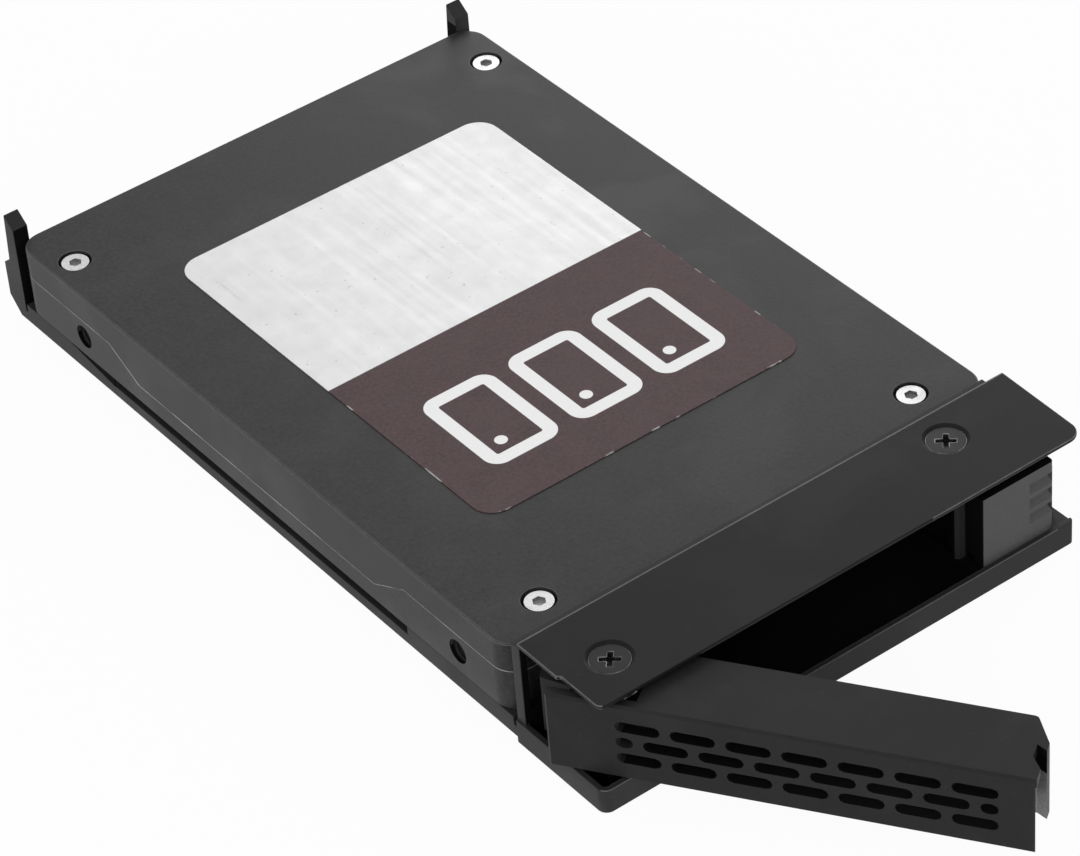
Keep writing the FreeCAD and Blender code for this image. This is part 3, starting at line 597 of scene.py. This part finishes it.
# Plug: black glass-filled moulding at the drive's rear with two keyed tongues, soldered to the board's
# edge. Stamped copper contacts lie under the tongues, with gold over nickel.
plug_colour = (0.014, 0.014, 0.015)
gold_colour = (0.9, 0.64, 0.24)
plug_edge = 0.00008
metal_blotches = 400.0
metal_wear = 0.6
metal_dulling = 0.6
metal_gloss = 0.08
metal_depth = 0.15
metal_relief = 0.00001

plug_finish = grained_finish(
    "plug moulding", plug_colour,
    roughness=0.42, specular=0.4, cells=3800.0, depth=0.35, tone=0.15, marks=0.3,
)
plug = merged_copy("sata_connector", "drive_plug_moulding", plug_finish)
round_edges(plug, plug_edge)
place(plug, "tray", "connector_plastic", "sata_connector")


def stretched(tree, cells, turn=0.0):
    """The piece's own coordinates turned about Z, with so many cells per metre on X, Y and Z."""
    node = tree.nodes.new("ShaderNodeMapping")
    node.inputs["Scale"].default_value = cells
    node.inputs["Rotation"].default_value = (0.0, 0.0, turn)
    tree.links.new(object_coordinates(tree), node.inputs["Vector"])
    return node.outputs["Vector"]


def metal_finish(name, colour, roughness, cells, streaks):
    """A bare or plated metal with streaks, and dulled where it was handled."""
    material, tree, shader = new_finish(name)
    lines = noise(tree, stretched(tree, cells), 1.0, detail=3.0)
    worn = use_group(tree, marks_group, Cells_Per_Metre=metal_blotches, Amount=metal_wear)
    streaked = tone_by(tree, colour, vary(tree, lines, 1.0 - streaks, 1.0 + streaks))
    darker = tuple(part * metal_dulling for part in colour)
    tree.links.new(tint(tree, "MIX", worn["Marks"], streaked, darker), shader.inputs["Base Color"])
    rough = vary(tree, lines, roughness - metal_gloss, roughness + metal_gloss)
    tree.links.new(rough, shader.inputs["Roughness"])
    shader.inputs["Metallic"].default_value = 1.0
    add_relief(tree, shader, lines, metal_depth, metal_relief)
    return material


gold_finish = metal_finish(
    "gold contacts", gold_colour, roughness=0.28, cells=(9000.0, 900.0, 9000.0), streaks=0.1
)
for node in ("signal_contacts", "power_contacts"):
    dress_node(node, gold_finish)

# Drive lid: a die-cast aluminium cover with a satin dark grey coat like the lower shell's. Its skirt drops
# between the ears, and four counterbores take the lid screws. Its edges carry painted light.
coat_colour = (0.023, 0.023, 0.0233)
lid_edge_light_colour = (0.075, 0.075, 0.0755)
lid_edge = 0.00008
coat_finish = grained_finish(
    "satin drive coat", coat_colour,
    roughness=0.42, specular=0.15, cells=1900.0, depth=0.5, tone=0.5, marks=0.6,
)
lid_edge_light_finish = grained_finish(
    "painted light on lid edges", lid_edge_light_colour,
    roughness=0.42, specular=0.16, cells=2600.0, depth=0.3, tone=0.26, marks=0.5,
)
lid = merged_copy("drive_cover", "drive_lid", coat_finish, lid_edge_light_finish)
# Painted light: the rounded edges get the paler coat.
round_edges(lid, lid_edge, edge_finish=lid_edge_light_finish)
place(lid, "tray", "drive_coat", "drive_cover")

# Lid screws: four small steel cheese heads with a hexagon socket, driven into the ears. Their zinc plate is
# bright on top and duller in the socket and below the head, with a little painted shade there.
zinc_colour = (0.42, 0.42, 0.425)
socket_shade_colour = (0.4, 0.4, 0.405)
zinc_cells = (6000.0, 2500.0, 6000.0)
screw_edge = 0.00012
bright_depth = 0.0002
zinc_finish = metal_finish("bright zinc", zinc_colour, roughness=0.34, cells=zinc_cells, streaks=0.12)
socket_shade_finish = metal_finish("zinc in painted socket shade", socket_shade_colour, roughness=0.45, cells=zinc_cells, streaks=0.2)
lid_screws = merged_copy("cover_screws", "lid_screws", zinc_finish, socket_shade_finish)
round_edges(lid_screws, screw_edge, segments=3)
screw_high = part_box("cover_screws")[1]
# Painted shade: the zinc below the top of the head is a little darker.
refinish(lid_screws, socket_shade_finish, lambda face: face.center.z < screw_high.z - bright_depth)
place(lid_screws, "tray", "bright_steel", "cover_screws")

# Label: aluminium foil glued on the lid. The rear half is bare foil with rolling streaks and small scuffs,
# and the front half is printed brown with three white outlines of memory packages. The print is chipped
# along the label's edge.
foil_colour = (0.65, 0.65, 0.655)
scuff_colour = (0.55, 0.55, 0.56)
scratch_colour = (0.4, 0.4, 0.41)
speck_colour = (0.3, 0.3, 0.3)
brown_colour = (0.082, 0.053, 0.056)
worn_brown = (0.09, 0.066, 0.068)
chip_colour = (0.5, 0.48, 0.48)
print_white = (0.97, 0.97, 0.97)
label_edge = 0.00003
print_edge_y = 0.0022
print_blur = 0.00004
outline_blur = 0.00003
package_x = (-0.0121, 0.0003, 0.0127)
package_y = -0.0147
package_half_x = 0.0042
package_half_y = 0.0067
package_corner = 0.0012
package_stroke = 0.0018
dot_x = -0.0014
dot_y = -0.0039
dot_r = 0.0004
border_corner = 0.003
border_width = 0.0003
streak_cells = (900.0, 38.0, 900.0)
streak_turn = math.radians(4)
streak_tones = (0.98, 1.015)
mottle_cells = 330.0
mottle_tones = (0.94, 1.04)
scuff_share, scratch_share = 0.22, 0.7
scratch_from, scratch_full = 0.62, 0.68
chip_from, chip_full = 0.56, 0.62
chip_cells = 420.0
chip_share = 0.8
print_wear = 0.25
foil_metal = 0.35
foil_roughness = (0.34, 0.48)
print_roughness = (0.45, 0.6)
label_specular = 0.12
label_depth = 0.25
label_relief = 0.00002

outline_group, outline_in, outline_out = effect_group(
    "rounded outline",
    [
        ("Centre X", 0.0),
        ("Centre Y", 0.0),
        ("Half Width", 0.005),
        ("Half Height", 0.0075),
        ("Corner", 0.003),
        ("Stroke", 0.002),
    ],
    ["Mask", "Distance"],
)
outline_split = outline_group.nodes.new("ShaderNodeSeparateXYZ")
outline_group.links.new(object_coordinates(outline_group), outline_split.inputs["Vector"])
corner_r = outline_in.outputs["Corner"]
reach = []
squares = []
for axis, centre, half in (("X", "Centre X", "Half Width"), ("Y", "Centre Y", "Half Height")):
    offset = math_node(
        outline_group, "SUBTRACT", outline_split.outputs[axis], outline_in.outputs[centre]
    )
    straight = math_node(outline_group, "SUBTRACT", outline_in.outputs[half], corner_r)
    away = math_node(outline_group, "ABSOLUTE", offset)
    reach.append(math_node(outline_group, "SUBTRACT", away, straight))
    outside = math_node(outline_group, "MAXIMUM", reach[-1], 0.0)
    squares.append(math_node(outline_group, "MULTIPLY", outside, outside))
corner_part = math_node(outline_group, "SQRT", math_node(outline_group, "ADD", *squares))
inner_part = math_node(outline_group, "MINIMUM", math_node(outline_group, "MAXIMUM", *reach), 0.0)
beyond = math_node(outline_group, "ADD", corner_part, inner_part)
from_line = math_node(outline_group, "SUBTRACT", beyond, corner_r)
half_stroke = math_node(outline_group, "MULTIPLY", outline_in.outputs["Stroke"], 0.5)
off_line = math_node(outline_group, "ABSOLUTE", from_line)
past_stroke = math_node(outline_group, "SUBTRACT", off_line, half_stroke)
outline_mask = spread(outline_group, past_stroke, -outline_blur, outline_blur, 1.0, 0.0)
outline_group.links.new(outline_mask, outline_out.inputs["Mask"])
outline_group.links.new(from_line, outline_out.inputs["Distance"])

label_finish, label_tree, label_shader = new_finish("label foil and print")
label = merged_copy("drive_label", "foil_label", label_finish)
round_edges(label, label_edge)
label_vector = object_coordinates(label_tree)
label_split = label_tree.nodes.new("ShaderNodeSeparateXYZ")
label_tree.links.new(label_vector, label_split.inputs["Vector"])
label_grain = use_group(label_tree, grain_group, Cells_Per_Metre=2200.0, Tone_Range=0.36)
label_marks = use_group(label_tree, marks_group, Cells_Per_Metre=120.0, Amount=1.0)
streaks = noise(label_tree, stretched(label_tree, streak_cells, streak_turn), 1.0, detail=4.0)
mottle = noise(label_tree, label_vector, mottle_cells, detail=6.0, distortion=0.4)
sharp_streaks = spread(label_tree, streaks, scratch_from, scratch_full, 0.0, 1.0)
scratches = math_node(label_tree, "MULTIPLY", sharp_streaks, label_marks["Marks"])
foil = tone_by(label_tree, foil_colour, vary(label_tree, streaks, *streak_tones))
foil = tone_by(label_tree, foil, vary(label_tree, mottle, *mottle_tones))
for colour, mask, share in (
    (scuff_colour, label_marks["Marks"], scuff_share),
    (scratch_colour, scratches, scratch_share),
    (speck_colour, label_marks["Specks"], speck_share),
):
    foil = lay_over(label_tree, foil, colour, mask, share)
brown = tone_by(label_tree, brown_colour, label_grain["Tone"])
printed = lay_over(label_tree, brown, worn_brown, label_marks["Marks"], print_wear)
for x in package_x:
    ring = use_group(
        label_tree, outline_group, Centre_X=x, Centre_Y=package_y, Half_Width=package_half_x,
        Half_Height=package_half_y, Corner=package_corner, Stroke=package_stroke,
    )
    dot = use_group(
        label_tree, outline_group, Centre_X=x + dot_x, Centre_Y=package_y + dot_y, Half_Width=dot_r,
        Half_Height=dot_r, Corner=dot_r, Stroke=2 * dot_r,
    )
    package = math_node(label_tree, "MAXIMUM", ring["Mask"], dot["Mask"])
    printed = tint(label_tree, "MIX", package, printed, print_white)
low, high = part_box("drive_label")
border = use_group(
    label_tree, outline_group, Centre_X=(low.x + high.x) / 2, Centre_Y=(low.y + high.y) / 2,
    Half_Width=(high.x - low.x) / 2, Half_Height=(high.y - low.y) / 2,
    Corner=border_corner, Stroke=border_width,
)
chip_pattern = noise(label_tree, label_vector, chip_cells, detail=3.0)
chips = spread(label_tree, chip_pattern, chip_from, chip_full, 0.0, chip_share)
chipped = math_node(label_tree, "MULTIPLY", chips, border["Mask"])
printed = tint(label_tree, "MIX", chipped, printed, chip_colour)
is_foil = spread(
    label_tree, label_split.outputs["Y"], print_edge_y - print_blur, print_edge_y + print_blur, 0.0, 1.0
)
label_tree.links.new(tint(label_tree, "MIX", is_foil, printed, foil), label_shader.inputs["Base Color"])
label_metal = math_node(label_tree, "MULTIPLY", is_foil, foil_metal)
label_tree.links.new(label_metal, label_shader.inputs["Metallic"])
rough_mix = label_tree.nodes.new("ShaderNodeMix")
label_tree.links.new(is_foil, rough_mix.inputs[0])
label_tree.links.new(vary(label_tree, label_grain["Height"], *print_roughness), rough_mix.inputs[2])
label_tree.links.new(vary(label_tree, streaks, *foil_roughness), rough_mix.inputs[3])
label_tree.links.new(rough_mix.outputs[0], label_shader.inputs["Roughness"])
label_shader.inputs["Specular IOR Level"].default_value = label_specular
label_height = math_node(label_tree, "ADD", label_grain["Height"], streaks)
add_relief(label_tree, label_shader, label_height, label_depth, label_relief)
place(label, "tray", "label_foil", "drive_label")

# Drive screws: four black countersunk steel screws, driven from below through the tray's pads into the
# drive. Their black oxide is rubbed off along the edges.
black_colour = (0.016, 0.016, 0.017)
rubbed_colour = (0.13, 0.13, 0.133)
drive_screw_edge = 0.00006
black_finish = grained_finish(
    "black oxide", black_colour,
    roughness=0.34, specular=0.12, cells=5200.0, depth=0.3, tone=0.2, marks=0.8,
)
rubbed_finish = metal_finish(
    "steel rubbed bare", rubbed_colour, roughness=0.3, cells=(900.0, 900.0, 900.0), streaks=0.9
)
drive_screws = merged_copy("drive_screws", "drive_screw_set", black_finish, rubbed_finish)
round_edges(drive_screws, drive_screw_edge, edge_finish=rubbed_finish)
place(drive_screws, "tray", "black_steel", "drive_screws")

# Latch: a mid-grey moulding that slides sideways on the tray's rib. Three grip grooves with sloped lower
# edges wrap its front right corner, and the nib on its left catches the shut door. Its top, foot and left
# side carry painted shade, and the front of the nib a lighter painted half shade.
latch_colour = (0.068, 0.068, 0.069)
nib_half_shade_colour = (0.019, 0.019, 0.0192)
latch_edge = 0.00014
latch_width = 0.0107
latch_foot = 0.0011
left_margin = 0.0001
level_gap = 0.00002
largely = 0.5
grip_rows = 3
grip_top = 0.0019
grip_pitch = 0.00215
grip_half = 0.0004
grip_depth = 0.0005
grip_slope = 0.00075
outer_share = 0.9
grip_outer = grip_depth * outer_share

latch_finish = grained_finish(
    "latch moulding", latch_colour,
    roughness=0.5, specular=0.2, cells=3000.0, depth=0.35, tone=0.12, marks=0.5,
)
nib_half_shade_finish = grained_finish(
    "latch in painted half shade", nib_half_shade_colour,
    roughness=0.6, specular=0.1, cells=3000.0, depth=0.35, tone=0.12, marks=0.5,
)
latch = merged_copy("latch", "latch_moulding", latch_finish, painted_shade_finish, nib_half_shade_finish)
latch_low, latch_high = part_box("latch")
groove_feet = [latch_high.z - grip_top - row * grip_pitch - grip_half for row in range(grip_rows)]


def at_groove_foot(point):
    """Whether a point is on a grip groove's lower edge and on the latch's outer faces."""
    is_outer = point.y < latch_low.y + grip_outer or point.x > latch_high.x - grip_outer
    return is_outer and any(abs(point.z - foot) < level_gap for foot in groove_feet)


pick_points(latch, at_groove_foot)
bpy.ops.transform.translate(value=(0, 0, -grip_slope))
bpy.ops.object.mode_set(mode="OBJECT")
round_edges(latch, latch_edge)


def in_latch_shade(face):
    """Whether a face of the latch lies on its nib, its left side, its foot or its top."""
    at_left = face.center.x < latch_high.x - latch_width + left_margin
    at_foot = face.center.z < latch_low.z + latch_foot
    at_top = face.center.z > latch_high.z - level_gap
    return at_left or at_foot or at_top or face.normal.x < -largely


def on_nib_front(face):
    """Whether a face of the latch is the front of its nib."""
    return face.center.x < latch_high.x - latch_width and face.normal.y < -largely


# Painted shade on the top, foot and left side; painted half shade on the nib's front.
refinish(latch, painted_shade_finish, in_latch_shade)
refinish(latch, nib_half_shade_finish, on_nib_front)
place(latch, "latch", "latch_plastic", "latch")

# Latch spring: round drawn steel wire wound as a compression coil, held between the latch's bore and the
# tray's stop. It shortens as the latch moves towards the stop.
wire_colour = (0.5, 0.5, 0.51)
wire_sides = 12
wire_steps = 28
latch_wire_r = 0.0002
latch_turns = 5
wire_finish = metal_finish(
    "spring wire", wire_colour, roughness=0.3, cells=(2500.0, 2500.0, 2500.0), streaks=0.15
)


def close_wire(wire):
    """Caps the wire's ends, turns its faces outwards and smooths it."""
    only(wire)
    bpy.ops.object.mode_set(mode="EDIT")
    bpy.ops.mesh.select_mode(type="EDGE")
    bpy.ops.mesh.select_all(action="DESELECT")
    bpy.ops.mesh.select_non_manifold(extend=False)
    bpy.ops.mesh.fill_holes(sides=0)
    bpy.ops.mesh.select_all(action="SELECT")
    bpy.ops.mesh.normals_make_consistent(inside=False)
    bpy.ops.mesh.select_mode(type="VERT")
    bpy.ops.object.mode_set(mode="OBJECT")
    bpy.ops.object.transform_apply(location=True, rotation=True, scale=True)
    bpy.ops.object.shade_smooth_by_angle(angle=smooth_angle)


low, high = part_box("latch_spring")
latch_coil_r = (high.z - low.z) / 2 - latch_wire_r
latch_coil_length = high.x - low.x - 2 * latch_wire_r
latch_coil = wound(
    "latch_spring_wire", wire_finish, wire_sides, latch_wire_r, latch_coil_r,
    latch_turns, latch_coil_length, wire_steps, "X",
)
latch_coil.location = (low.x + latch_wire_r, (low.y + high.y) / 2, (low.z + high.z) / 2)
close_wire(latch_coil)
place(latch_coil, "tray", "spring_steel", "latch_spring")
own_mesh(latch_coil)

# Door: a black-grey moulding, hollow behind its slotted panel. The knuckle turns on the tray's hinge post,
# the claw beside it pulls on the cage, and the free end has the notch that the latch catches. Painted shade
# darkens the slots, the hollow and the hook's inner face in the notch, and a painted highlight lies on that
# face below the notch.
door_colour = (0.0165, 0.0165, 0.0168)
hook_highlight_colour = (0.22, 0.22, 0.22)
door_edge = 0.00016
hinge = Vector((-0.0289, -0.0588, 0.0))
door_turn = Matrix.Rotation(math.radians(56), 3, "Z")
hollow_low = Vector((0.0045, -0.00605, 0.0036))
hollow_high = Vector((0.045, 0.00365, 0.0138))
hook_from = 0.0452
hook_margin = 0.0003
hook_shade = 0.01065
panel_rear = -0.0045

door_finish = grained_finish(
    "door moulding", door_colour,
    roughness=0.5, specular=0.09, cells=3200.0, depth=0.35, tone=0.15, marks=0.6,
)
hook_highlight_finish = grained_finish(
    "door hook with painted highlight", hook_highlight_colour,
    roughness=0.34, specular=0.4, cells=3200.0, depth=0.2, tone=0.2, marks=0.8,
)
door = merged_copy("door", "door_moulding", door_finish, painted_shade_finish, hook_highlight_finish)


def when_shut(point):
    """Where a point of the open door lies from the hinge once the door is shut."""
    return door_turn @ (point - hinge)


cut_faces(
    door, (0, 0, hook_shade), (0, 0, 1),
    lambda point: when_shut(point).x > hook_from - hook_margin,
)
round_edges(door, door_edge)


def behind_panel(face):
    """Whether a face of the door lies in its slots or in the hollow behind them."""
    return is_inside(when_shut(face.center), hollow_low, hollow_high)


def on_hook(face):
    """Whether a face of the door lies on the hook at its free end and looks towards the panel."""
    at_shut = when_shut(face.center)
    looks = door_turn @ face.normal
    return at_shut.x > hook_from and at_shut.y > panel_rear and looks.y < -partly


# Painted shade in the slots, the hollow and the notch; painted highlight on the hook below it.
refinish(door, painted_shade_finish, behind_panel)
refinish(door, hook_highlight_finish, on_hook)
refinish(door, painted_shade_finish, lambda face: on_hook(face) and face.center.z > hook_shade)
place(door, "door", "door_plastic", "door")

# Door spring: steel wire wound on the hinge post above the knuckle. Its straight leg bears on the tray, and
# it throws the door open when the latch lets go. It winds up as the door shuts.
door_wire_r = 0.00025
door_turns = 3.36
ring_margin = 0.00001
low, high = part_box("door_spring")
door_coil_r = high.x - door_wire_r - hinge.x
door_coil_drop = low.z - high.z + 2 * door_wire_r
door_coil = wound(
    "door_spring_wire", wire_finish, wire_sides, door_wire_r, door_coil_r,
    -door_turns, door_coil_drop, wire_steps, "Z",
)


def at_coil_start(point):
    """Whether a point is on the ring that the coil starts from."""
    return abs(point.y) < ring_margin and abs(point.z) < door_wire_r + ring_margin and point.x > 0


pick_points(door_coil, at_coil_start)
bpy.ops.mesh.extrude_region_move(TRANSFORM_OT_translate={"value": (0, high.y - hinge.y, 0)})
bpy.ops.object.mode_set(mode="OBJECT")
door_coil.location = (hinge.x, hinge.y, high.z - door_wire_r)
close_wire(door_coil)
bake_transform(door_coil)
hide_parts("door_spring")

# Top plate: a pressed steel sheet over the door bay in satin black-grey paint, held by two screws. Its left
# edge is jogged in front of the hinge, and a painted highlight runs as a pale line along its edges.
plate_colour = (0.0095, 0.0095, 0.0097)
plate_edge_highlight_colour = (0.085, 0.085, 0.086)
plate_edge = 0.00012
highlight_width = 0.00024
front_width = 0.0002
highlight_front_x = 0.012
plate_screw_places = ((hinge.x, hinge.y), (0.0222, -0.0551))
screw_reach = 0.0032

plate_finish = grained_finish(
    "plate paint", plate_colour,
    roughness=0.42, specular=0.085, cells=2400.0, depth=0.3, tone=0.1, marks=0.7,
)
plate_edge_highlight_finish = grained_finish(
    "painted highlight on plate edges", plate_edge_highlight_colour,
    roughness=0.44, specular=0.2, cells=900.0, depth=0.3, tone=0.4, marks=0.9,
)
plate = merged_copy("top_plate", "bay_plate", plate_finish, plate_edge_highlight_finish)
plate_low, plate_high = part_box("top_plate")
highlight_from = plate_high.y - highlight_width
cut_faces(plate, (0, highlight_from, 0), (0, 1, 0))
cut_faces(plate, (highlight_front_x, 0, 0), (1, 0, 0))
round_edges(plate, plate_edge, edge_finish=plate_edge_highlight_finish)


def round_screw(face):
    """Whether a face of the plate lies round one of its screws."""
    at = face.center
    return any(math.hypot(at.x - x, at.y - y) < screw_reach for x, y in plate_screw_places)


def on_front_left(face):
    """Whether a face of the plate lies on its front edge, left of the latch."""
    return face.center.y < plate_low.y + front_width and face.center.x < highlight_front_x


def on_rear_line(face):
    """Whether a face of the plate lies on its top along the rear edge."""
    return face.center.y > highlight_from and face.normal.z > largely


# Painted highlight: none round the screws or on the front edge left of the latch, a strip on the rear top
# edge.
refinish(plate, plate_finish, round_screw)
refinish(plate, plate_finish, on_front_left)
refinish(plate, plate_edge_highlight_finish, on_rear_line)
place(plate, "tray", "plate_paint", "top_plate")

# Plate screws: two black countersunk steel screws with a cross recess, one in the hinge post and one in the
# boss beside the latch. Their edges are rubbed bare like those of the drive screws.
plate_screw_edge = 0.00008
plate_screws = merged_copy("plate_screws", "plate_screw_set", black_finish, rubbed_finish)
round_edges(plate_screws, plate_screw_edge, edge_finish=rubbed_finish)
place(plate_screws, "tray", "black_steel", "plate_screws")

# Stage: a plain white floor that keeps a faint shadow, an even white surround and three large soft lamps.
# Only the far lamp is seen in gloss.
floor_size = 8.0
floor_drop = 0.00005
floor_white = (0.9, 0.9, 0.9, 1.0)
floor_glow_share = 0.95
sky_light, sky_seen = 0.5, 1.0


def seen_directly(tree):
    """One for rays from the camera and for what metal or glass reflects or lets through, else zero."""
    path = tree.nodes.new("ShaderNodeLightPath")
    seen = math_node(tree, "MAXIMUM", path.outputs["Is Camera Ray"], path.outputs["Is Glossy Ray"])
    return math_node(tree, "MAXIMUM", seen, path.outputs["Is Transmission Ray"])


bpy.ops.object.select_all(action="DESELECT")
bpy.ops.mesh.primitive_plane_add(size=floor_size, location=(0, 0, -floor_drop))
floor = bpy.context.active_object
floor.name = "floor"
floor_finish = bpy.data.materials.new("white floor")
floor_finish.use_nodes = True
floor_tree = floor_finish.node_tree
floor_tree.nodes.clear()
floor_surface = floor_tree.nodes.new("ShaderNodeOutputMaterial")
floor_dull = floor_tree.nodes.new("ShaderNodeBsdfDiffuse")
floor_dull.inputs["Color"].default_value = floor_white
floor_glow = floor_tree.nodes.new("ShaderNodeEmission")
floor_glow.inputs["Strength"].default_value = 1.0
floor_mix = floor_tree.nodes.new("ShaderNodeMixShader")
glow_share = math_node(floor_tree, "MULTIPLY", seen_directly(floor_tree), floor_glow_share)
floor_tree.links.new(glow_share, floor_mix.inputs["Fac"])
floor_tree.links.new(floor_dull.outputs["BSDF"], floor_mix.inputs[1])
floor_tree.links.new(floor_glow.outputs["Emission"], floor_mix.inputs[2])
floor_tree.links.new(floor_mix.outputs["Shader"], floor_surface.inputs["Surface"])
floor.data.materials.append(floor_finish)

surround = bpy.data.worlds.new("white surround")
bpy.context.scene.world = surround
surround.use_nodes = True
sky_tree = surround.node_tree
sky = sky_tree.nodes["Background"]
sky.inputs["Color"].default_value = (1.0, 1.0, 1.0, 1.0)
sky_level = spread(sky_tree, seen_directly(sky_tree), 0.0, 1.0, sky_light, sky_seen)
sky_tree.links.new(sky_level, sky.inputs["Strength"])


def soft_lamp(name, place_at, size, power, shines):
    """A large square lamp aimed at the object; one that shines is seen in gloss."""
    bpy.ops.object.select_all(action="DESELECT")
    aim = Vector(place_at).to_track_quat("Z", "Y").to_euler()
    bpy.ops.object.light_add(type="AREA", location=place_at, rotation=aim)
    lamp = bpy.context.active_object
    lamp.name = name
    lamp.data.name = name
    lamp.data.shape = "SQUARE"
    lamp.data.size = size
    lamp.data.energy = power
    lamp.visible_glossy = shines


soft_lamp("far lamp", place_at=(0.49, 0.43, 0.3), size=0.5, power=1.85, shines=True)
soft_lamp("left lamp", place_at=(-0.85, -0.33, 0.33), size=0.7, power=4.7, shines=False)
soft_lamp("front lamp", place_at=(-0.1, -0.9, 0.3), size=0.3, power=1.77, shines=False)

# Camera: the photograph's own standpoint and focal length, found from the drive's standard sizes. Its
# turns are in degrees and its lens and sensor in millimetres.
camera_at = (-0.2365238, -0.3540320, 0.3383403)
camera_turns = (51.0145, 3.8305, -37.3655)
bpy.ops.object.camera_add(location=camera_at, rotation=[math.radians(turn) for turn in camera_turns])
camera = bpy.context.active_object
camera.name = "photo camera"
camera.data.lens = 150.42
camera.data.sensor_width = 36.0
camera.data.sensor_fit = "HORIZONTAL"
camera.data.clip_start = 0.01
camera.data.clip_end = 20.0
bpy.context.scene.camera = camera
bpy.context.scene.view_settings.view_transform = "Standard"
